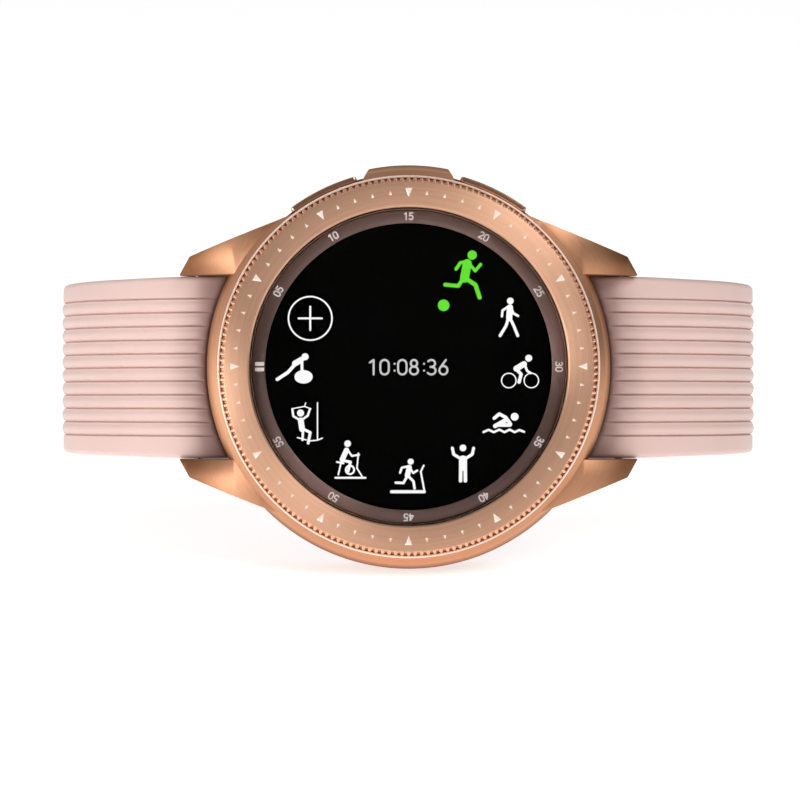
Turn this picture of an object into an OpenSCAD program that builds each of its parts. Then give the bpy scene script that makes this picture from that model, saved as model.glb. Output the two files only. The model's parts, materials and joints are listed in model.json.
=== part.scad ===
// Smartwatch with a rotating bezel, two side keys and a two-part ribbed rubber strap.
// The watch stands on its side: dial to the front (-Y), 12 o'clock to the left (-X), keys on top.

/* [Case] */
// Largest radius of the case wall
case_r = 21.9; // [21.6:0.1:23]
// Radius of the upper edge line of the case
edge_r = 21.2; // [21:0.1:21.5]
// Radius of the case wall where it is milled back for the keys
key_flat_r = 20.35; // [20.25:0.05:20.5]
// Radius of the back edge of the case
back_r = 20.6; // [20.3:0.1:21]
// Radius of the round room inside the case
cavity_r = 16.9; // [16.8:0.1:17.1]
// Height of the deck that the bezel turns on
deck_z = 10.5; // [10.4:0.1:11.5]
// Distance between the inner faces of a pair of lugs
lug_gap = 20; // [18:0.5:22]
// Distance that a lug's tip stands out past the case wall
lug_reach = 2.7; // [2.6:0.1:4]
// Length of the speaker slot
slot_l = 6; // [4:0.5:8]
// Height of the speaker slot
slot_h = 0.9; // [0.6:0.1:1.2]
// Radius of the microphone hole
mic_r = 0.4; // [0.2:0.05:0.5]

/* [Bezel and glass] */
// Outer radius of the bezel over its knurl
bezel_r = 20.15; // [20.05:0.05:20.25]
// Radius of the opening that the glass shows through
opening_r = 17; // [16.9:0.1:17.2]
// Height of the bezel's front over the sensor window
top_z = 12.7; // [12.6:0.1:14]
// Thickness of the glass
glass_t = 0.9; // [0.6:0.1:1]
// Radius of the lit part of the display
screen_r = 15.26; // [14.8:0.1:15.5]
// Number of clicks in a turn of the bezel
clicks = 24; // [12:12:48]

/* [Keys] */
// Outer radius of the side keys
key_r = 21.45; // [21.3:0.05:21.8]
// Angle from the middle of the guard to the middle of a key
key_angle = 26.15; // [25:0.5:27]
// Angle that one key spans
key_span = 19.7; // [16:0.5:20]
// Height of a key along the dial's axis
key_h = 2.5; // [2:0.1:3]
// Travel of a key
key_travel = 0.3; // [0.2:0.05:0.35]
// Radius of a key's post
post_r = 0.7; // [0.5:0.05:0.8]

/* [Strap] */
// Distance between the outermost middle lines of the two strap halves
strap_reach = 77.2; // [72:0.4:90]
// Thickness of the strap
strap_t = 2.4; // [2:0.1:3]
// Width that the strap loses over 100 mm of depth
strap_taper = 2.8; // [1:0.2:4]
// Number of holes in the tail
holes = 8; // [4:1:9]
// Distance from one hole to the next
hole_pitch = 6; // [5:0.5:7]
// Radius of the holes
hole_r = 1.15; // [0.9:0.05:1.5]

/* [Spring bars and buckle] */
// Radius of a spring bar's tube
bar_r = 0.75; // [0.6:0.05:0.9]
// Radius of a spring bar's end pins
tip_r = 0.45; // [0.35:0.05:0.5]
// Travel of a release pin
release_travel = 1.2; // [1:0.1:1.4]
// Length of the buckle frame past its bar
buckle_l = 10.5; // [8:0.5:12]
// Width of the buckle's metal
buckle_wire = 1.5; // [1.2:0.1:1.8]

/* [Hidden] */
$fn = 96;
eps = 0.01;

// Running clearances
run = 0.05;
bezel_run = 0.08;
lug_run = 0.15;

// Length of the case from lug tip to lug tip
lug_span = 2 * (case_r + lug_reach);

// Case heights
seat_z = 2.1;
wide_low_z = 5;
wide_high_z = 7;
edge_z = deck_z - 0.6;
rim_z = deck_z + 0.4;
case_low_z = 1.3;
rim_r = bezel_r + 0.15;
neck_r = 18.25;
glass_r = 17.45;
glass_seat_z = deck_z + 0.4;
gasket_t = 0.15;
glass_z = glass_seat_z + gasket_t;
neck_top_z = glass_z + glass_t;
bezel_low_z = deck_z + 0.1;
roof_z = deck_z - 1.2;

// Back cover and screws
cover_r = back_r - 0.8;
screw_r = 0.5;
screw_head_r = 0.85;
screw_at_r = 18.7;
screw_h = 4.6;
window_r = 10.1;
window_flange_r = 11.5;

// Speaker slot, its mesh and the microphone hole
slot_z = 3.85;
mic_z = 4;
wall_cut = case_r + 2 - cavity_r;
mesh_back = 1.5;
mesh_t = 0.4;
mesh_pitch = 0.6;
mesh_side = floor((slot_l / 2 - 0.4) / mesh_pitch);

// Bezel details
magnet_r = 0.4;
magnet_at_r = 18.95;
ball_r = 0.4;
ball_at_r = 19.62;
retainer_z = deck_z + 0.75;
retainer_h = 0.3;

// Keys
key_z = 6.65;
key_t = 0.7;
guard_half_angle = 14.6;
key_gap = 1.2;
key_low_z = 3.2;
switch_gap = 0.05;
post_end_r = cavity_r - 0.35;
clip_t = 0.3;
clip_r = 1.05;
seal_at_r = 18.8;
seal_t = 0.5;

// Lugs and bars
bar_x = lug_span / 2 - 1.6;
bar_z = 3.3;
tip_len = 0.9;
bar_half = lug_gap / 2 - 0.4;
lug_inner = lug_gap / 2;
lug_corner_y = lug_inner + 1.9;
lug_slope = 21.4;
lug_corner_x = lug_span / 2 - 1.15;
lug_step = 0.06;
far = 60;
knob_y = -7;

// Strap halves: heading angles are measured downward from +x
root_w = lug_gap - 2 * lug_run;
head_start = 20;
head_side = 90;
side_x = strap_reach / 2;
side_radius = (side_x - bar_x) / (1 - sin(head_start));
turn_step = 3;
barrel_r = 1.55;

tail_slow_radius = 120;
head_tail_mid = 109.2;
tail_fast_radius = 26;
head_tail_end = 220;

clasp_radius = 40;
head_clasp = 120;
clasp_l = 18.5;
clasp_bar_u = clasp_l + 1.6;
clasp_barrel_r = 1.7;
clasp_slot_w = 2.8;
keeper_l = 4.5;
keeper_wall = 1;
keeper_room = 0.25;
fixed_keeper_u = 12.2;
free_keeper_u = 5;

// Path points in the (x, z) plane
function turn_centre(p, radius, head) = [p[0] - radius * sin(head), p[1] - radius * cos(head)];
function turn_point(centre, radius, head) = [centre[0] + radius * sin(head), centre[1] + radius * cos(head)];
bar_p = [bar_x, bar_z];
side_centre = turn_centre(bar_p, side_radius, head_start);
side_p = turn_point(side_centre, side_radius, head_side);
slow_centre = turn_centre(side_p, tail_slow_radius, head_side);
slow_p = turn_point(slow_centre, tail_slow_radius, head_tail_mid);
fast_centre = turn_centre(slow_p, tail_fast_radius, head_tail_mid);
clasp_centre = turn_centre(side_p, clasp_radius, head_side);
clasp_p = turn_point(clasp_centre, clasp_radius, head_clasp);

// Points beside the path, a distance out from its middle line, along one turn
function turn_side(centre, radius, head_from, head_to, out) = [
    for (i = [0:ceil((head_to - head_from) / turn_step)])
        turn_point(centre, radius + out, min(head_from + i * turn_step, head_to))];
function reversed(list) = [for (i = [len(list) - 1:-1:0]) list[i]];
function tail_side(out, head_end) = concat(
    turn_side(side_centre, side_radius, head_start, head_side - 0.5, out),
    turn_side(slow_centre, tail_slow_radius, head_side, head_tail_mid - 0.2, out),
    turn_side(fast_centre, tail_fast_radius, head_tail_mid, head_end, out));
function clasp_side(out) = concat(
    turn_side(side_centre, side_radius, head_start, head_side - 0.5, out),
    turn_side(clasp_centre, clasp_radius, head_side, head_clasp - 0.2, out),
    [for (u = [0, clasp_bar_u]) clasp_p
        + u * [cos(head_clasp), -sin(head_clasp)] + out * [sin(head_clasp), cos(head_clasp)]]);

// The lugs' outer faces, seen from the front: y at a distance x from the middle
function lug_y(x) = lug_corner_y + (lug_corner_x - x) * tan(lug_slope);

// Half the strap's width at a height z
function half_w(z) = root_w / 2 - strap_taper / 200 * (bar_z - z);
tail_low_z = fast_centre[1] - tail_fast_radius - strap_t / 2;
clasp_half = half_w(clasp_p[1] - clasp_l * sin(head_clasp));
frame_half = clasp_half + 0.25 + buckle_wire;

buckle_low_z = clasp_p[1] - (clasp_bar_u + buckle_l - 1) * sin(head_clasp) - 1;

// The watch leans back until the case and the first of the strap's two low points rest on the ground
function support_lean(half, z) = atan((case_r - half) / (wide_low_z - z));
lean = min(support_lean(half_w(tail_low_z), tail_low_z), support_lean(frame_half, buckle_low_z));
rest_z = case_r * cos(lean) - wide_low_z * sin(lean);
front_y = -(bezel_r - 0.45) * sin(lean) - (top_z - 0.25) * cos(lean);
back_y = half_w(tail_low_z) * sin(lean) - tail_low_z * cos(lean);

// ---- Placing ----

// Puts the watch frame (z along the dial's axis, y towards the keys) on the ground
module placed() {
    translate([0, -(front_y + back_y) / 2, rest_z]) rotate([90 - lean, 0, 0]) children();
}

// Puts a strap-frame child (x along the heading, z outward) at a path point
module on_path(p, head) {
    translate([p[0], 0, p[1]]) rotate([0, head, 0]) children();
}

// Puts a child drawn along +x at an angle counted from the keys' side, at height z
module around(angle, z) {
    rotate([0, 0, 90 - angle]) translate([0, 0, z]) children();
}

module ring(r_in, r_out, z_low, z_high) {
    translate([0, 0, z_low]) difference() {
        cylinder(h = z_high - z_low, r = r_out);
        translate([0, 0, -1]) cylinder(h = z_high - z_low + 2, r = r_in);
    }
}

module disc(r, z_low, z_high) {
    translate([0, 0, z_low]) cylinder(h = z_high - z_low, r = r);
}

module block(x, y, z_low, z_high, at = [0, 0]) {
    translate([at[0] - x / 2, at[1] - y / 2, z_low]) cube([x, y, z_high - z_low]);
}

// A round bar along y from y1 to y2
module bar_y(r, y1, y2) {
    translate([0, y2, 0]) rotate([90, 0, 0]) cylinder(h = y2 - y1, r = r);
}

// A wedge of space from angle a1 to a2, both under 90 degrees apart
module sector(a1, a2, r, z_low, z_high) {
    translate([0, 0, z_low]) linear_extrude(z_high - z_low)
        polygon([[0, 0], [r * cos(a1), r * sin(a1)],
            [r / cos((a2 - a1) / 2) * cos((a1 + a2) / 2), r / cos((a2 - a1) / 2) * sin((a1 + a2) / 2)],
            [r * cos(a2), r * sin(a2)]]);
}

// ---- Case ----

module case_shell() {
    rotate_extrude() polygon([
        [cavity_r, case_low_z], [back_r, case_low_z], [case_r, wide_low_z], [case_r, wide_high_z],
        [edge_r, edge_z], [rim_r, rim_z], [rim_r, deck_z], [neck_r, deck_z],
        [neck_r, retainer_z - 0.05], [neck_r - 0.35, retainer_z - 0.05],
        [neck_r - 0.35, retainer_z + retainer_h + 0.05], [neck_r, retainer_z + retainer_h + 0.05],
        [neck_r, neck_top_z], [glass_r + run, neck_top_z], [glass_r + run, glass_seat_z],
        [cavity_r, glass_seat_z]]);
}

// One lug at +x, +y: its outline from the front cut to its outline from the side
module lug() {
    tip_x = lug_span / 2;
    root_x = 11;
    intersection() {
        translate([0, 0, 0.5]) linear_extrude(10) polygon([
            [root_x, lug_inner], [tip_x, lug_inner], [lug_corner_x, lug_corner_y], [root_x, lug_y(root_x)]]);
        translate([0, 25, 0]) rotate([90, 0, 0]) linear_extrude(25) polygon([
            [root_x, case_low_z], [bar_x - 2, case_low_z - 0.3], [bar_x + 0.4, 1.3],
            [tip_x, 2.6], [tip_x - 0.1, 4.3], [bar_x - 0.6, 6.6], [edge_r - 2.6, edge_z],
            [root_x, edge_z]]);
    }
}

// The room for the keys: outside the lugs' outer faces, and wherever a key moves
module key_recess() {
    difference() {
        intersection() {
            ring(key_flat_r, case_r + 6, key_low_z, rim_z + 1);
            union() {
                for (side = [-1, 1]) around(side * key_angle, 0)
                    sector(-key_span / 2 - key_gap, key_span / 2 + key_gap, case_r + 8, 0, rim_z + 3);
                translate([0, lug_step, 0]) linear_extrude(rim_z + 3) polygon([
                    [-far, lug_y(far)], [0, lug_y(0)], [far, lug_y(far)], [far, 2 * far], [-far, 2 * far]]);
            }
        }
        rotate([0, 0, 90 - guard_half_angle]) sector(0, 2 * guard_half_angle, case_r + 8, 0, rim_z + 3);
    }
}

module key_bores() {
    for (side = [-1, 1]) around(side * key_angle, key_z) rotate([0, 90, 0]) {
        translate([0, 0, cavity_r - 1]) cylinder(h = 5, r = post_r + run);
        translate([0, 0, seal_at_r]) cylinder(h = seal_t + 0.05, r = post_r + 0.35);
    }
}

module case_body() {
    color("#c58f6e") placed() difference() {
        union() {
            case_shell();
            for (mx = [0, 1], my = [0, 1]) mirror([mx, 0, 0]) mirror([0, my, 0]) difference() {
                lug();
                disc(edge_r - 1, 0, 12);
            }
        }
        key_recess();
        // Seat of the back cover and room for the gasket
        disc(cover_r + run, 0, seat_z);
        disc(cavity_r + 0.7, seat_z - 1, seat_z + 0.4);
        for (a = [45:90:315]) rotate([0, 0, a]) translate([screw_at_r, 0, seat_z - 1])
            cylinder(h = screw_h - seat_z + 1.2, r = screw_r + run);
        key_bores();
        // Spring bar holes
        for (side = [-1, 1]) translate([side * bar_x, 0, bar_z])
            bar_y(tip_r + run, -lug_inner - tip_len - 0.2, lug_inner + tip_len + 0.2);
        // Pockets of the detent balls
        for (a = [0, 180]) rotate([0, 0, a]) translate([ball_at_r, 0, deck_z - 1.7])
            cylinder(h = 2, r = ball_r + run);
        // Speaker slot and microphone hole
        translate([-slot_l / 2, -case_r - 1, slot_z - slot_h / 2]) cube([slot_l, wall_cut, slot_h]);
        translate([0, case_r + 1, mic_z]) rotate([90, 0, 0]) cylinder(h = wall_cut, r = mic_r);
    }
}

module back_cover() {
    color("#3a2b2a") placed() difference() {
        union() {
            disc(cover_r, 0.7, seat_z);
            ring(15.2, cavity_r - 0.1, seat_z - eps, seat_z + 1);
        }
        disc(window_r + run, 0, 3);
        disc(window_flange_r + run, 1.35, 3);
        for (a = [45:90:315]) rotate([0, 0, a]) translate([screw_at_r, 0, 0]) {
            cylinder(h = 3, r = screw_r + run);
            cylinder(h = 1.35, r = screw_head_r + run);
        }
    }
}

module sensor_window() {
    color("#101012") placed() rotate_extrude() polygon([
        [0, 0], [window_r - 0.5, 0], [window_r, 0.4], [window_r, 1.35], [window_flange_r, 1.35],
        [window_flange_r, 2], [0, 2]]);
}

module back_gasket() {
    color("#222222") placed() ring(cavity_r + 0.05, cavity_r + 0.65, seat_z, seat_z + 0.35);
}

module back_screws() {
    color("#8a8a8e") placed() for (a = [45:90:315]) rotate([0, 0, a]) translate([screw_at_r, 0, 0])
        difference() {
            union() {
                translate([0, 0, 0.85]) cylinder(h = 0.5, r = screw_head_r);
                translate([0, 0, 0.9]) cylinder(h = screw_h - 0.9, r = screw_r);
            }
            translate([0, 0, 0.5]) cylinder(h = 0.65, r = 0.38, $fn = 6);
        }
}

module speaker_mesh() {
    color("#4a3a34") placed() difference() {
        translate([-slot_l / 2 + 2 * run, -cavity_r - mesh_back - mesh_t, slot_z - slot_h / 2 + run])
            cube([slot_l - 4 * run, mesh_t, slot_h - 2 * run]);
        for (i = [-mesh_side:mesh_side]) translate([i * mesh_pitch, -cavity_r - mesh_back + 0.5, slot_z])
            rotate([90, 0, 0]) cylinder(h = mesh_t + 1, r = 0.18);
    }
}

// ---- Display stack ----

module display_glass() {
    color("#0b0b0d") placed() rotate_extrude() polygon([
        [0, glass_z], [glass_r, glass_z], [glass_r, glass_z + glass_t - 0.2],
        [glass_r - 0.3, glass_z + glass_t - 0.02], [0, glass_z + glass_t - 0.02]]);
}

module glass_gasket() {
    color("#202020") placed() ring(cavity_r + 0.05, glass_r, glass_seat_z, glass_z);
}

module dial_ring() {
    color("#3b2622") placed() ring(screen_r, cavity_r - 0.1, glass_z - 0.6, glass_z - 0.1);
}

module display_panel() {
    color("#050505") placed() disc(cavity_r - 0.15, roof_z + 0.4, glass_z - 0.6);
}

module display_bracket() {
    color("#2b2b2e") placed() difference() {
        disc(cavity_r - 0.15, roof_z - 0.3, roof_z + 0.35);
        translate([0, 0, roof_z - 1]) cylinder(h = 3, r = 7);
        block(7, 1.6, roof_z - 1, roof_z + 1, [0, -12]);
    }
}

module display_flex() {
    color("#c98a2b") placed() block(6, 0.25, 8.65, roof_z + 0.4, [0, -12]);
}

// ---- Board, battery and modules ----

module main_board() {
    color("#1d5b3a") placed() difference() {
        disc(15.7, 7.9, 8.6);
        for (a = [60, 180, 300]) rotate([0, 0, a]) translate([14.4, 0, 7]) cylinder(h = 3, r = 0.6);
    }
}

module board_shields() {
    color("#b5b7ba") placed() {
        block(11, 8, 8.6, 8.95, [-5.6, 3]);
        block(7, 9, 8.6, 8.95, [6.4, 2]);
    }
}

module board_chips() {
    color("#2a2a2c") placed() {
        block(5, 3.4, 8.6, 8.9, [-5, -6.6]);
        block(2.4, 2.4, 8.6, 8.9, [8, -7]);
        block(3.2, 2, 8.6, 8.9, [3, 10.6]);
        block(2, 3, 8.6, 8.9, [-10.2, -5]);
    }
}

module hall_sensors() {
    color("#333338") placed() for (a = [75, 90, 105]) rotate([0, 0, a]) block(1.1, 1.4, 8.6, 8.95, [13.6, 0]);
}

module antenna_ring() {
    color("#d8d2c4") placed() ring(15.85, 16.6, 8, 8.75);
}

module battery() {
    color("#8d9196") placed() difference() {
        block(20, 19, 3.85, 7.4, [1.5, 0]);
        for (sx = [-1, 1], sy = [-1, 1]) translate([1.5 + sx * 10, sy * 9.5, 0])
            rotate([0, 0, 45]) block(1.6, 1.6, 3, 8);
    }
}

module battery_lead() {
    color("#c98a2b") placed() block(6, 2.4, 7.4, 7.9, [1.5, 6]);
}

module battery_tray() {
    color("#3c3c40") placed() difference() {
        disc(15.65, 3.6, 7.6);
        block(20.2, 19.2, 3.8, 9, [1.5, 0]);
        translate([-11.9, 0, 3.8]) cylinder(h = 5, r = 3.05);
        block(8.6, 4.7, 3.8, 9, [1.5, -12.1]);
        block(3.4, 2.4, 3.8, 9, [-4.6, 12.2]);
        translate([1.5, 0, 3]) cylinder(h = 3, r = 5);
    }
}

module vibration_motor() {
    color("#a9abb0") placed() translate([-11.9, 0, 3.85]) difference() {
        cylinder(h = 2.8, r = 2.95);
        translate([0, 0, 2.5]) cylinder(h = 1, r = 0.8);
    }
}

module speaker() {
    color("#2f2f33") placed() difference() {
        block(8.4, 4.3, 3.85, 6.8, [1.5, -12.1]);
        block(6, 0.8, 4.4, 6, [1.5, -14.3]);
    }
}

module microphone() {
    color("#c2a24e") placed() difference() {
        block(3.2, 2.2, 3.85, 5, [-4.6, 12.2]);
        translate([-4.6, 12.2, 4.7]) cylinder(h = 1, r = 0.3);
    }
}

module sensor_board() {
    color("#14432c") placed() disc(7, 3, 3.5);
}

module sensor_diodes() {
    color("#2e6e4f") placed() {
        block(1.6, 1.6, 2.05, 3);
        for (a = [0:60:300]) rotate([0, 0, a]) block(1.5, 2.2, 2.05, 3, [3.8, 0]);
    }
}

module charging_coil() {
    color("#b8652f") placed() ring(8.2, 12.8, 2.15, 2.55);
}

module ferrite_sheet() {
    color("#26262a") placed() ring(7.6, 13.2, 2.6, 2.85);
}

// ---- Key parts inside the case ----

module key_switches() {
    color("#b9bcc0") placed() for (side = [-1, 1]) around(side * key_angle, key_z) {
        translate([15.86, -1.4, -0.9]) cube([0.24, 2.8, 1.8]);
        translate([15.9, 0, 0]) rotate([0, 90, 0])
            cylinder(h = post_end_r - key_travel - switch_gap - 15.9, r = 0.5);
    }
}

module key_flex() {
    color("#c98a2b") placed() intersection() {
        ring(15.72, 15.82, key_z - 1.1, key_z + 1.1);
        rotate([0, 0, 90 - 38]) sector(0, 76, 30, 0, 12);
    }
}

module key_seals() {
    color("#202020") placed() for (side = [-1, 1]) around(side * key_angle, key_z)
        translate([seal_at_r, 0, 0]) rotate([0, 90, 0]) ring(post_r + 0.02, post_r + 0.33, 0, seal_t);
}

// ---- Bezel ----

module bezel_retainer() {
    color("#c0c0c4") placed() difference() {
        ring(neck_r - 0.3, neck_r + 0.35, retainer_z, retainer_z + retainer_h);
        translate([0, 0, retainer_z - 1]) rotate([0, 0, 20]) translate([10, -0.6, 0]) cube([12, 1.2, 3]);
    }
}

module detent_balls() {
    color("#d0d0d4") placed() for (a = [0, 180]) rotate([0, 0, a])
        translate([ball_at_r, 0, bezel_low_z - ball_r - 0.04]) sphere(r = ball_r, $fn = 32);
}

module detent_springs() {
    color("#b0b0b4") placed() for (a = [0, 180], i = [0:3]) rotate([0, 0, a])
        translate([ball_at_r, 0, deck_z - 1.62 + i * 0.16]) rotate_extrude($fn = 32)
            translate([0.27, 0]) circle(r = 0.08, $fn = 8);
}

module bezel() {
    color("#cf9a78") placed() difference() {
        rotate_extrude() polygon([
            [neck_r + bezel_run, bezel_low_z], [bezel_r, bezel_low_z], [bezel_r, top_z - 0.5],
            [bezel_r - 0.45, top_z - 0.25], [opening_r + 0.25, top_z], [opening_r, top_z - 0.25],
            [opening_r, neck_top_z + 0.12], [neck_r + bezel_run, neck_top_z + 0.12],
            [neck_r + bezel_run, retainer_z + retainer_h + 0.08], [neck_r + 0.45, retainer_z + retainer_h + 0.08],
            [neck_r + 0.45, retainer_z - 0.08], [neck_r + bezel_run, retainer_z - 0.08]]);
        for (i = [0:clicks - 1]) rotate([0, 0, i * 360 / clicks])
            translate([ball_at_r, 0, bezel_low_z - ball_r + 0.1]) sphere(r = ball_r, $fn = 32);
        for (i = [0:7]) rotate([0, 0, 22.5 + i * 45])
            translate([magnet_at_r, 0, bezel_low_z - 1]) cylinder(h = 1.45, r = magnet_r);
    }
}

module bezel_magnets() {
    color("#77777c") placed() for (i = [0:7]) rotate([0, 0, 22.5 + i * 45])
        translate([magnet_at_r, 0, bezel_low_z]) cylinder(h = 0.44, r = magnet_r - 0.01);
}

// ---- Keys ----

module side_key(side) {
    placed() {
        around(side * key_angle, 0) intersection() {
            ring(key_r - key_t, key_r, key_z - key_h / 2, key_z + key_h / 2);
            sector(-key_span / 2, key_span / 2, 30, 0, 12);
        }
        around(side * key_angle, key_z) rotate([0, 90, 0]) difference() {
            translate([0, 0, post_end_r]) cylinder(h = key_r - key_t / 2 - post_end_r, r = post_r);
            // Groove of the clip
            ring(post_r - 0.2, post_r + 1, cavity_r - clip_t - 0.02, cavity_r + 0.02);
        }
    }
}

module key_clip(side) {
    placed() around(side * key_angle, key_z) rotate([0, 90, 0]) difference() {
        ring(post_r - 0.18, clip_r, cavity_r - clip_t, cavity_r - 0.06);
        translate([-0.35, 0, cavity_r - 2]) cube([0.7, 3, 4]);
    }
}

module back_key() {
    color("#a87353") side_key(1);
}

module home_key() {
    color("#a87353") side_key(-1);
}

module back_key_clip() {
    color("#c0c0c4") key_clip(1);
}

module home_key_clip() {
    color("#c0c0c4") key_clip(-1);
}

// ---- Strap ----

// The strap's full width along an outline made of an outer and an inner side
module strap_band(outer, inner) {
    translate([0, root_w / 2, 0]) rotate([90, 0, 0]) linear_extrude(root_w)
        polygon(concat(outer, reversed(inner)));
}

// All the space inside the strap's narrowing width
module strap_width() {
    z_top = bar_z + 12;
    z_low = -140;
    translate([-10, 0, 0]) rotate([90, 0, 90]) linear_extrude(80) polygon([
        [-half_w(z_top), z_top], [half_w(z_top), z_top], [half_w(z_low), z_low], [-half_w(z_low), z_low]]);
}

// The end of the strap that fills the gap between the lugs
module strap_root() {
    difference() {
        union() {
            translate([bar_x, 0, bar_z]) bar_y(barrel_r, -root_w / 2, root_w / 2);
            translate([0, root_w / 2, 0]) rotate([90, 0, 0]) linear_extrude(root_w) polygon([
                [bar_x - 4, bar_z - 0.9], [bar_x, bar_z - barrel_r], [bar_x + 1.2, bar_z - 1.5],
                [bar_x + 1.2, bar_z + 0.6], [bar_x, bar_z + barrel_r], [bar_x - 4, bar_z + 0.9]]);
        }
        disc(case_r + 0.4, -5, 15);
    }
}

module bar_room() {
    translate([bar_x, 0, bar_z]) {
        bar_y(bar_r + run, -15, 15);
        translate([-0.6, knob_y - 0.6, -4]) cube([1.2, release_travel + 1.2, 4]);
    }
}

module tail_holes() {
    // Holes are counted back from the tip along the fast turn, then on the slow turn
    step = hole_pitch / tail_fast_radius * 180 / PI;
    for (i = [0:holes - 1]) {
        head = head_tail_end - 50 - i * step;
        if (head > head_tail_mid + 2)
            on_path(turn_point(fast_centre, tail_fast_radius, head), head) cylinder(h = 8, r = hole_r, center = true);
        else {
            back = (head_tail_mid - head) * tail_fast_radius / tail_slow_radius;
            on_path(turn_point(slow_centre, tail_slow_radius, head_tail_mid - back), head_tail_mid - back)
                cylinder(h = 8, r = hole_r, center = true);
        }
    }
}

module strap_tail_side() {
    tip_half = half_w(fast_centre[1] - tail_fast_radius * 0.8);
    tip_head = head_tail_end - tip_half / tail_fast_radius * 180 / PI;
    color("#e9c9bf") placed() difference() {
        intersection() {
            union() {
                strap_root();
                strap_band(tail_side(strap_t / 2, tip_head), tail_side(-strap_t / 2, tip_head));
                intersection() {
                    strap_band(tail_side(strap_t / 2, head_tail_end), tail_side(-strap_t / 2, head_tail_end));
                    on_path(turn_point(fast_centre, tail_fast_radius, tip_head), tip_head)
                        translate([0, 0, -6]) cylinder(h = 8, r = tip_half);
                }
            }
            strap_width();
        }
        bar_room();
        tail_holes();
    }
}

module strap_buckle_side() {
    color("#e9c9bf") placed() mirror([1, 0, 0]) difference() {
        intersection() {
            union() {
                strap_root();
                strap_band(clasp_side(strap_t / 2), clasp_side(-strap_t / 2));
                on_path(clasp_p, head_clasp) translate([clasp_bar_u, 0, 0])
                    bar_y(clasp_barrel_r, -root_w / 2, root_w / 2);
            }
            strap_width();
        }
        bar_room();
        on_path(clasp_p, head_clasp) translate([clasp_bar_u, 0, 0]) {
            bar_y(bar_r + run, -15, 15);
            translate([-2.6, -clasp_slot_w / 2, -3]) cube([6, clasp_slot_w, 6]);
        }
    }
}

// ---- Spring bars ----

module spring_bar() {
    translate([bar_x, 0, bar_z]) difference() {
        union() {
            bar_y(bar_r, -bar_half, bar_half);
            bar_y(tip_r, bar_half - eps, lug_inner + tip_len);
        }
        bar_y(tip_r + run, -bar_half - 1, -2);
        translate([-0.35, knob_y - 0.4, -2]) cube([0.7, release_travel + 0.8, 2]);
    }
}

module release_pin() {
    translate([bar_x, 0, bar_z]) {
        bar_y(tip_r, -lug_inner - tip_len, knob_y + 1.5);
        translate([0, knob_y, -2.9]) cylinder(h = 2.9, r = 0.3);
        translate([0, knob_y, -3.3]) cylinder(h = 0.5, r = 0.55);
    }
}

module bar_spring() {
    translate([bar_x, -4.1, bar_z]) for (i = [0:8]) translate([0, i * 0.22, 0]) rotate([90, 0, 0])
        rotate_extrude($fn = 32) translate([0.34, 0]) circle(r = 0.11, $fn = 8);
}

module spring_bar_right() {
    color("#c9c9cd") placed() spring_bar();
}

module release_pin_right() {
    color("#bdbdc2") placed() release_pin();
}

module bar_spring_right() {
    color("#a0a0a6") placed() bar_spring();
}

module spring_bar_left() {
    color("#c9c9cd") placed() mirror([1, 0, 0]) spring_bar();
}

module release_pin_left() {
    color("#bdbdc2") placed() mirror([1, 0, 0]) release_pin();
}

module bar_spring_left() {
    color("#a0a0a6") placed() mirror([1, 0, 0]) bar_spring();
}

// ---- Buckle and keepers ----

// Puts a child at the buckle's bar: x away from the strap, z outward
module at_buckle() {
    placed() mirror([1, 0, 0]) on_path(clasp_p, head_clasp) translate([clasp_bar_u, 0, 0]) children();
}

module buckle_frame() {
    color("#cf9a78") at_buckle() difference() {
        union() {
            for (side = [-1, 1]) {
                translate([0, side * (frame_half - buckle_wire / 2), 0])
                    bar_y(1.3, -buckle_wire / 2, buckle_wire / 2);
                translate([0, side * (frame_half - buckle_wire / 2) - buckle_wire / 2, -1])
                    cube([buckle_l - 1, buckle_wire, 2]);
            }
            translate([buckle_l - 1, 0, 0]) bar_y(1, -frame_half, frame_half);
        }
        bar_y(tip_r + run, -frame_half + 0.5, frame_half - 0.5);
        // Notch where the tongue rests
        translate([buckle_l - 3, -1.2, 0.45]) cube([4, 2.4, 2]);
    }
}

module buckle_bar() {
    color("#c9c9cd") at_buckle() {
        bar_y(bar_r, -clasp_half, clasp_half);
        bar_y(tip_r, -frame_half + 0.6, frame_half - 0.6);
    }
}

module buckle_tongue() {
    color("#cf9a78") at_buckle() difference() {
        union() {
            bar_y(1.5, -1, 1);
            translate([0, -0.9, 0.55]) cube([buckle_l + 0.2, 1.8, 0.9]);
        }
        bar_y(bar_r + run, -3, 3);
    }
}

module keeper(u, room_below) {
    inner_half = clasp_half + keeper_room + 0.1;
    low = -strap_t / 2 - room_below;
    high = strap_t * 1.5 + 0.6;
    placed() mirror([1, 0, 0]) on_path(clasp_p, head_clasp) translate([u, 0, 0]) difference() {
        translate([0, -inner_half - keeper_wall, low - keeper_wall])
            cube([keeper_l, 2 * (inner_half + keeper_wall), high - low + 2 * keeper_wall]);
        translate([-1, -inner_half, low]) cube([keeper_l + 2, 2 * inner_half, high - low]);
    }
}

module fixed_keeper() {
    color("#e3c0b5") keeper(fixed_keeper_u, 0);
}

module free_keeper() {
    color("#e3c0b5") keeper(free_keeper_u, keeper_room);
}

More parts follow.
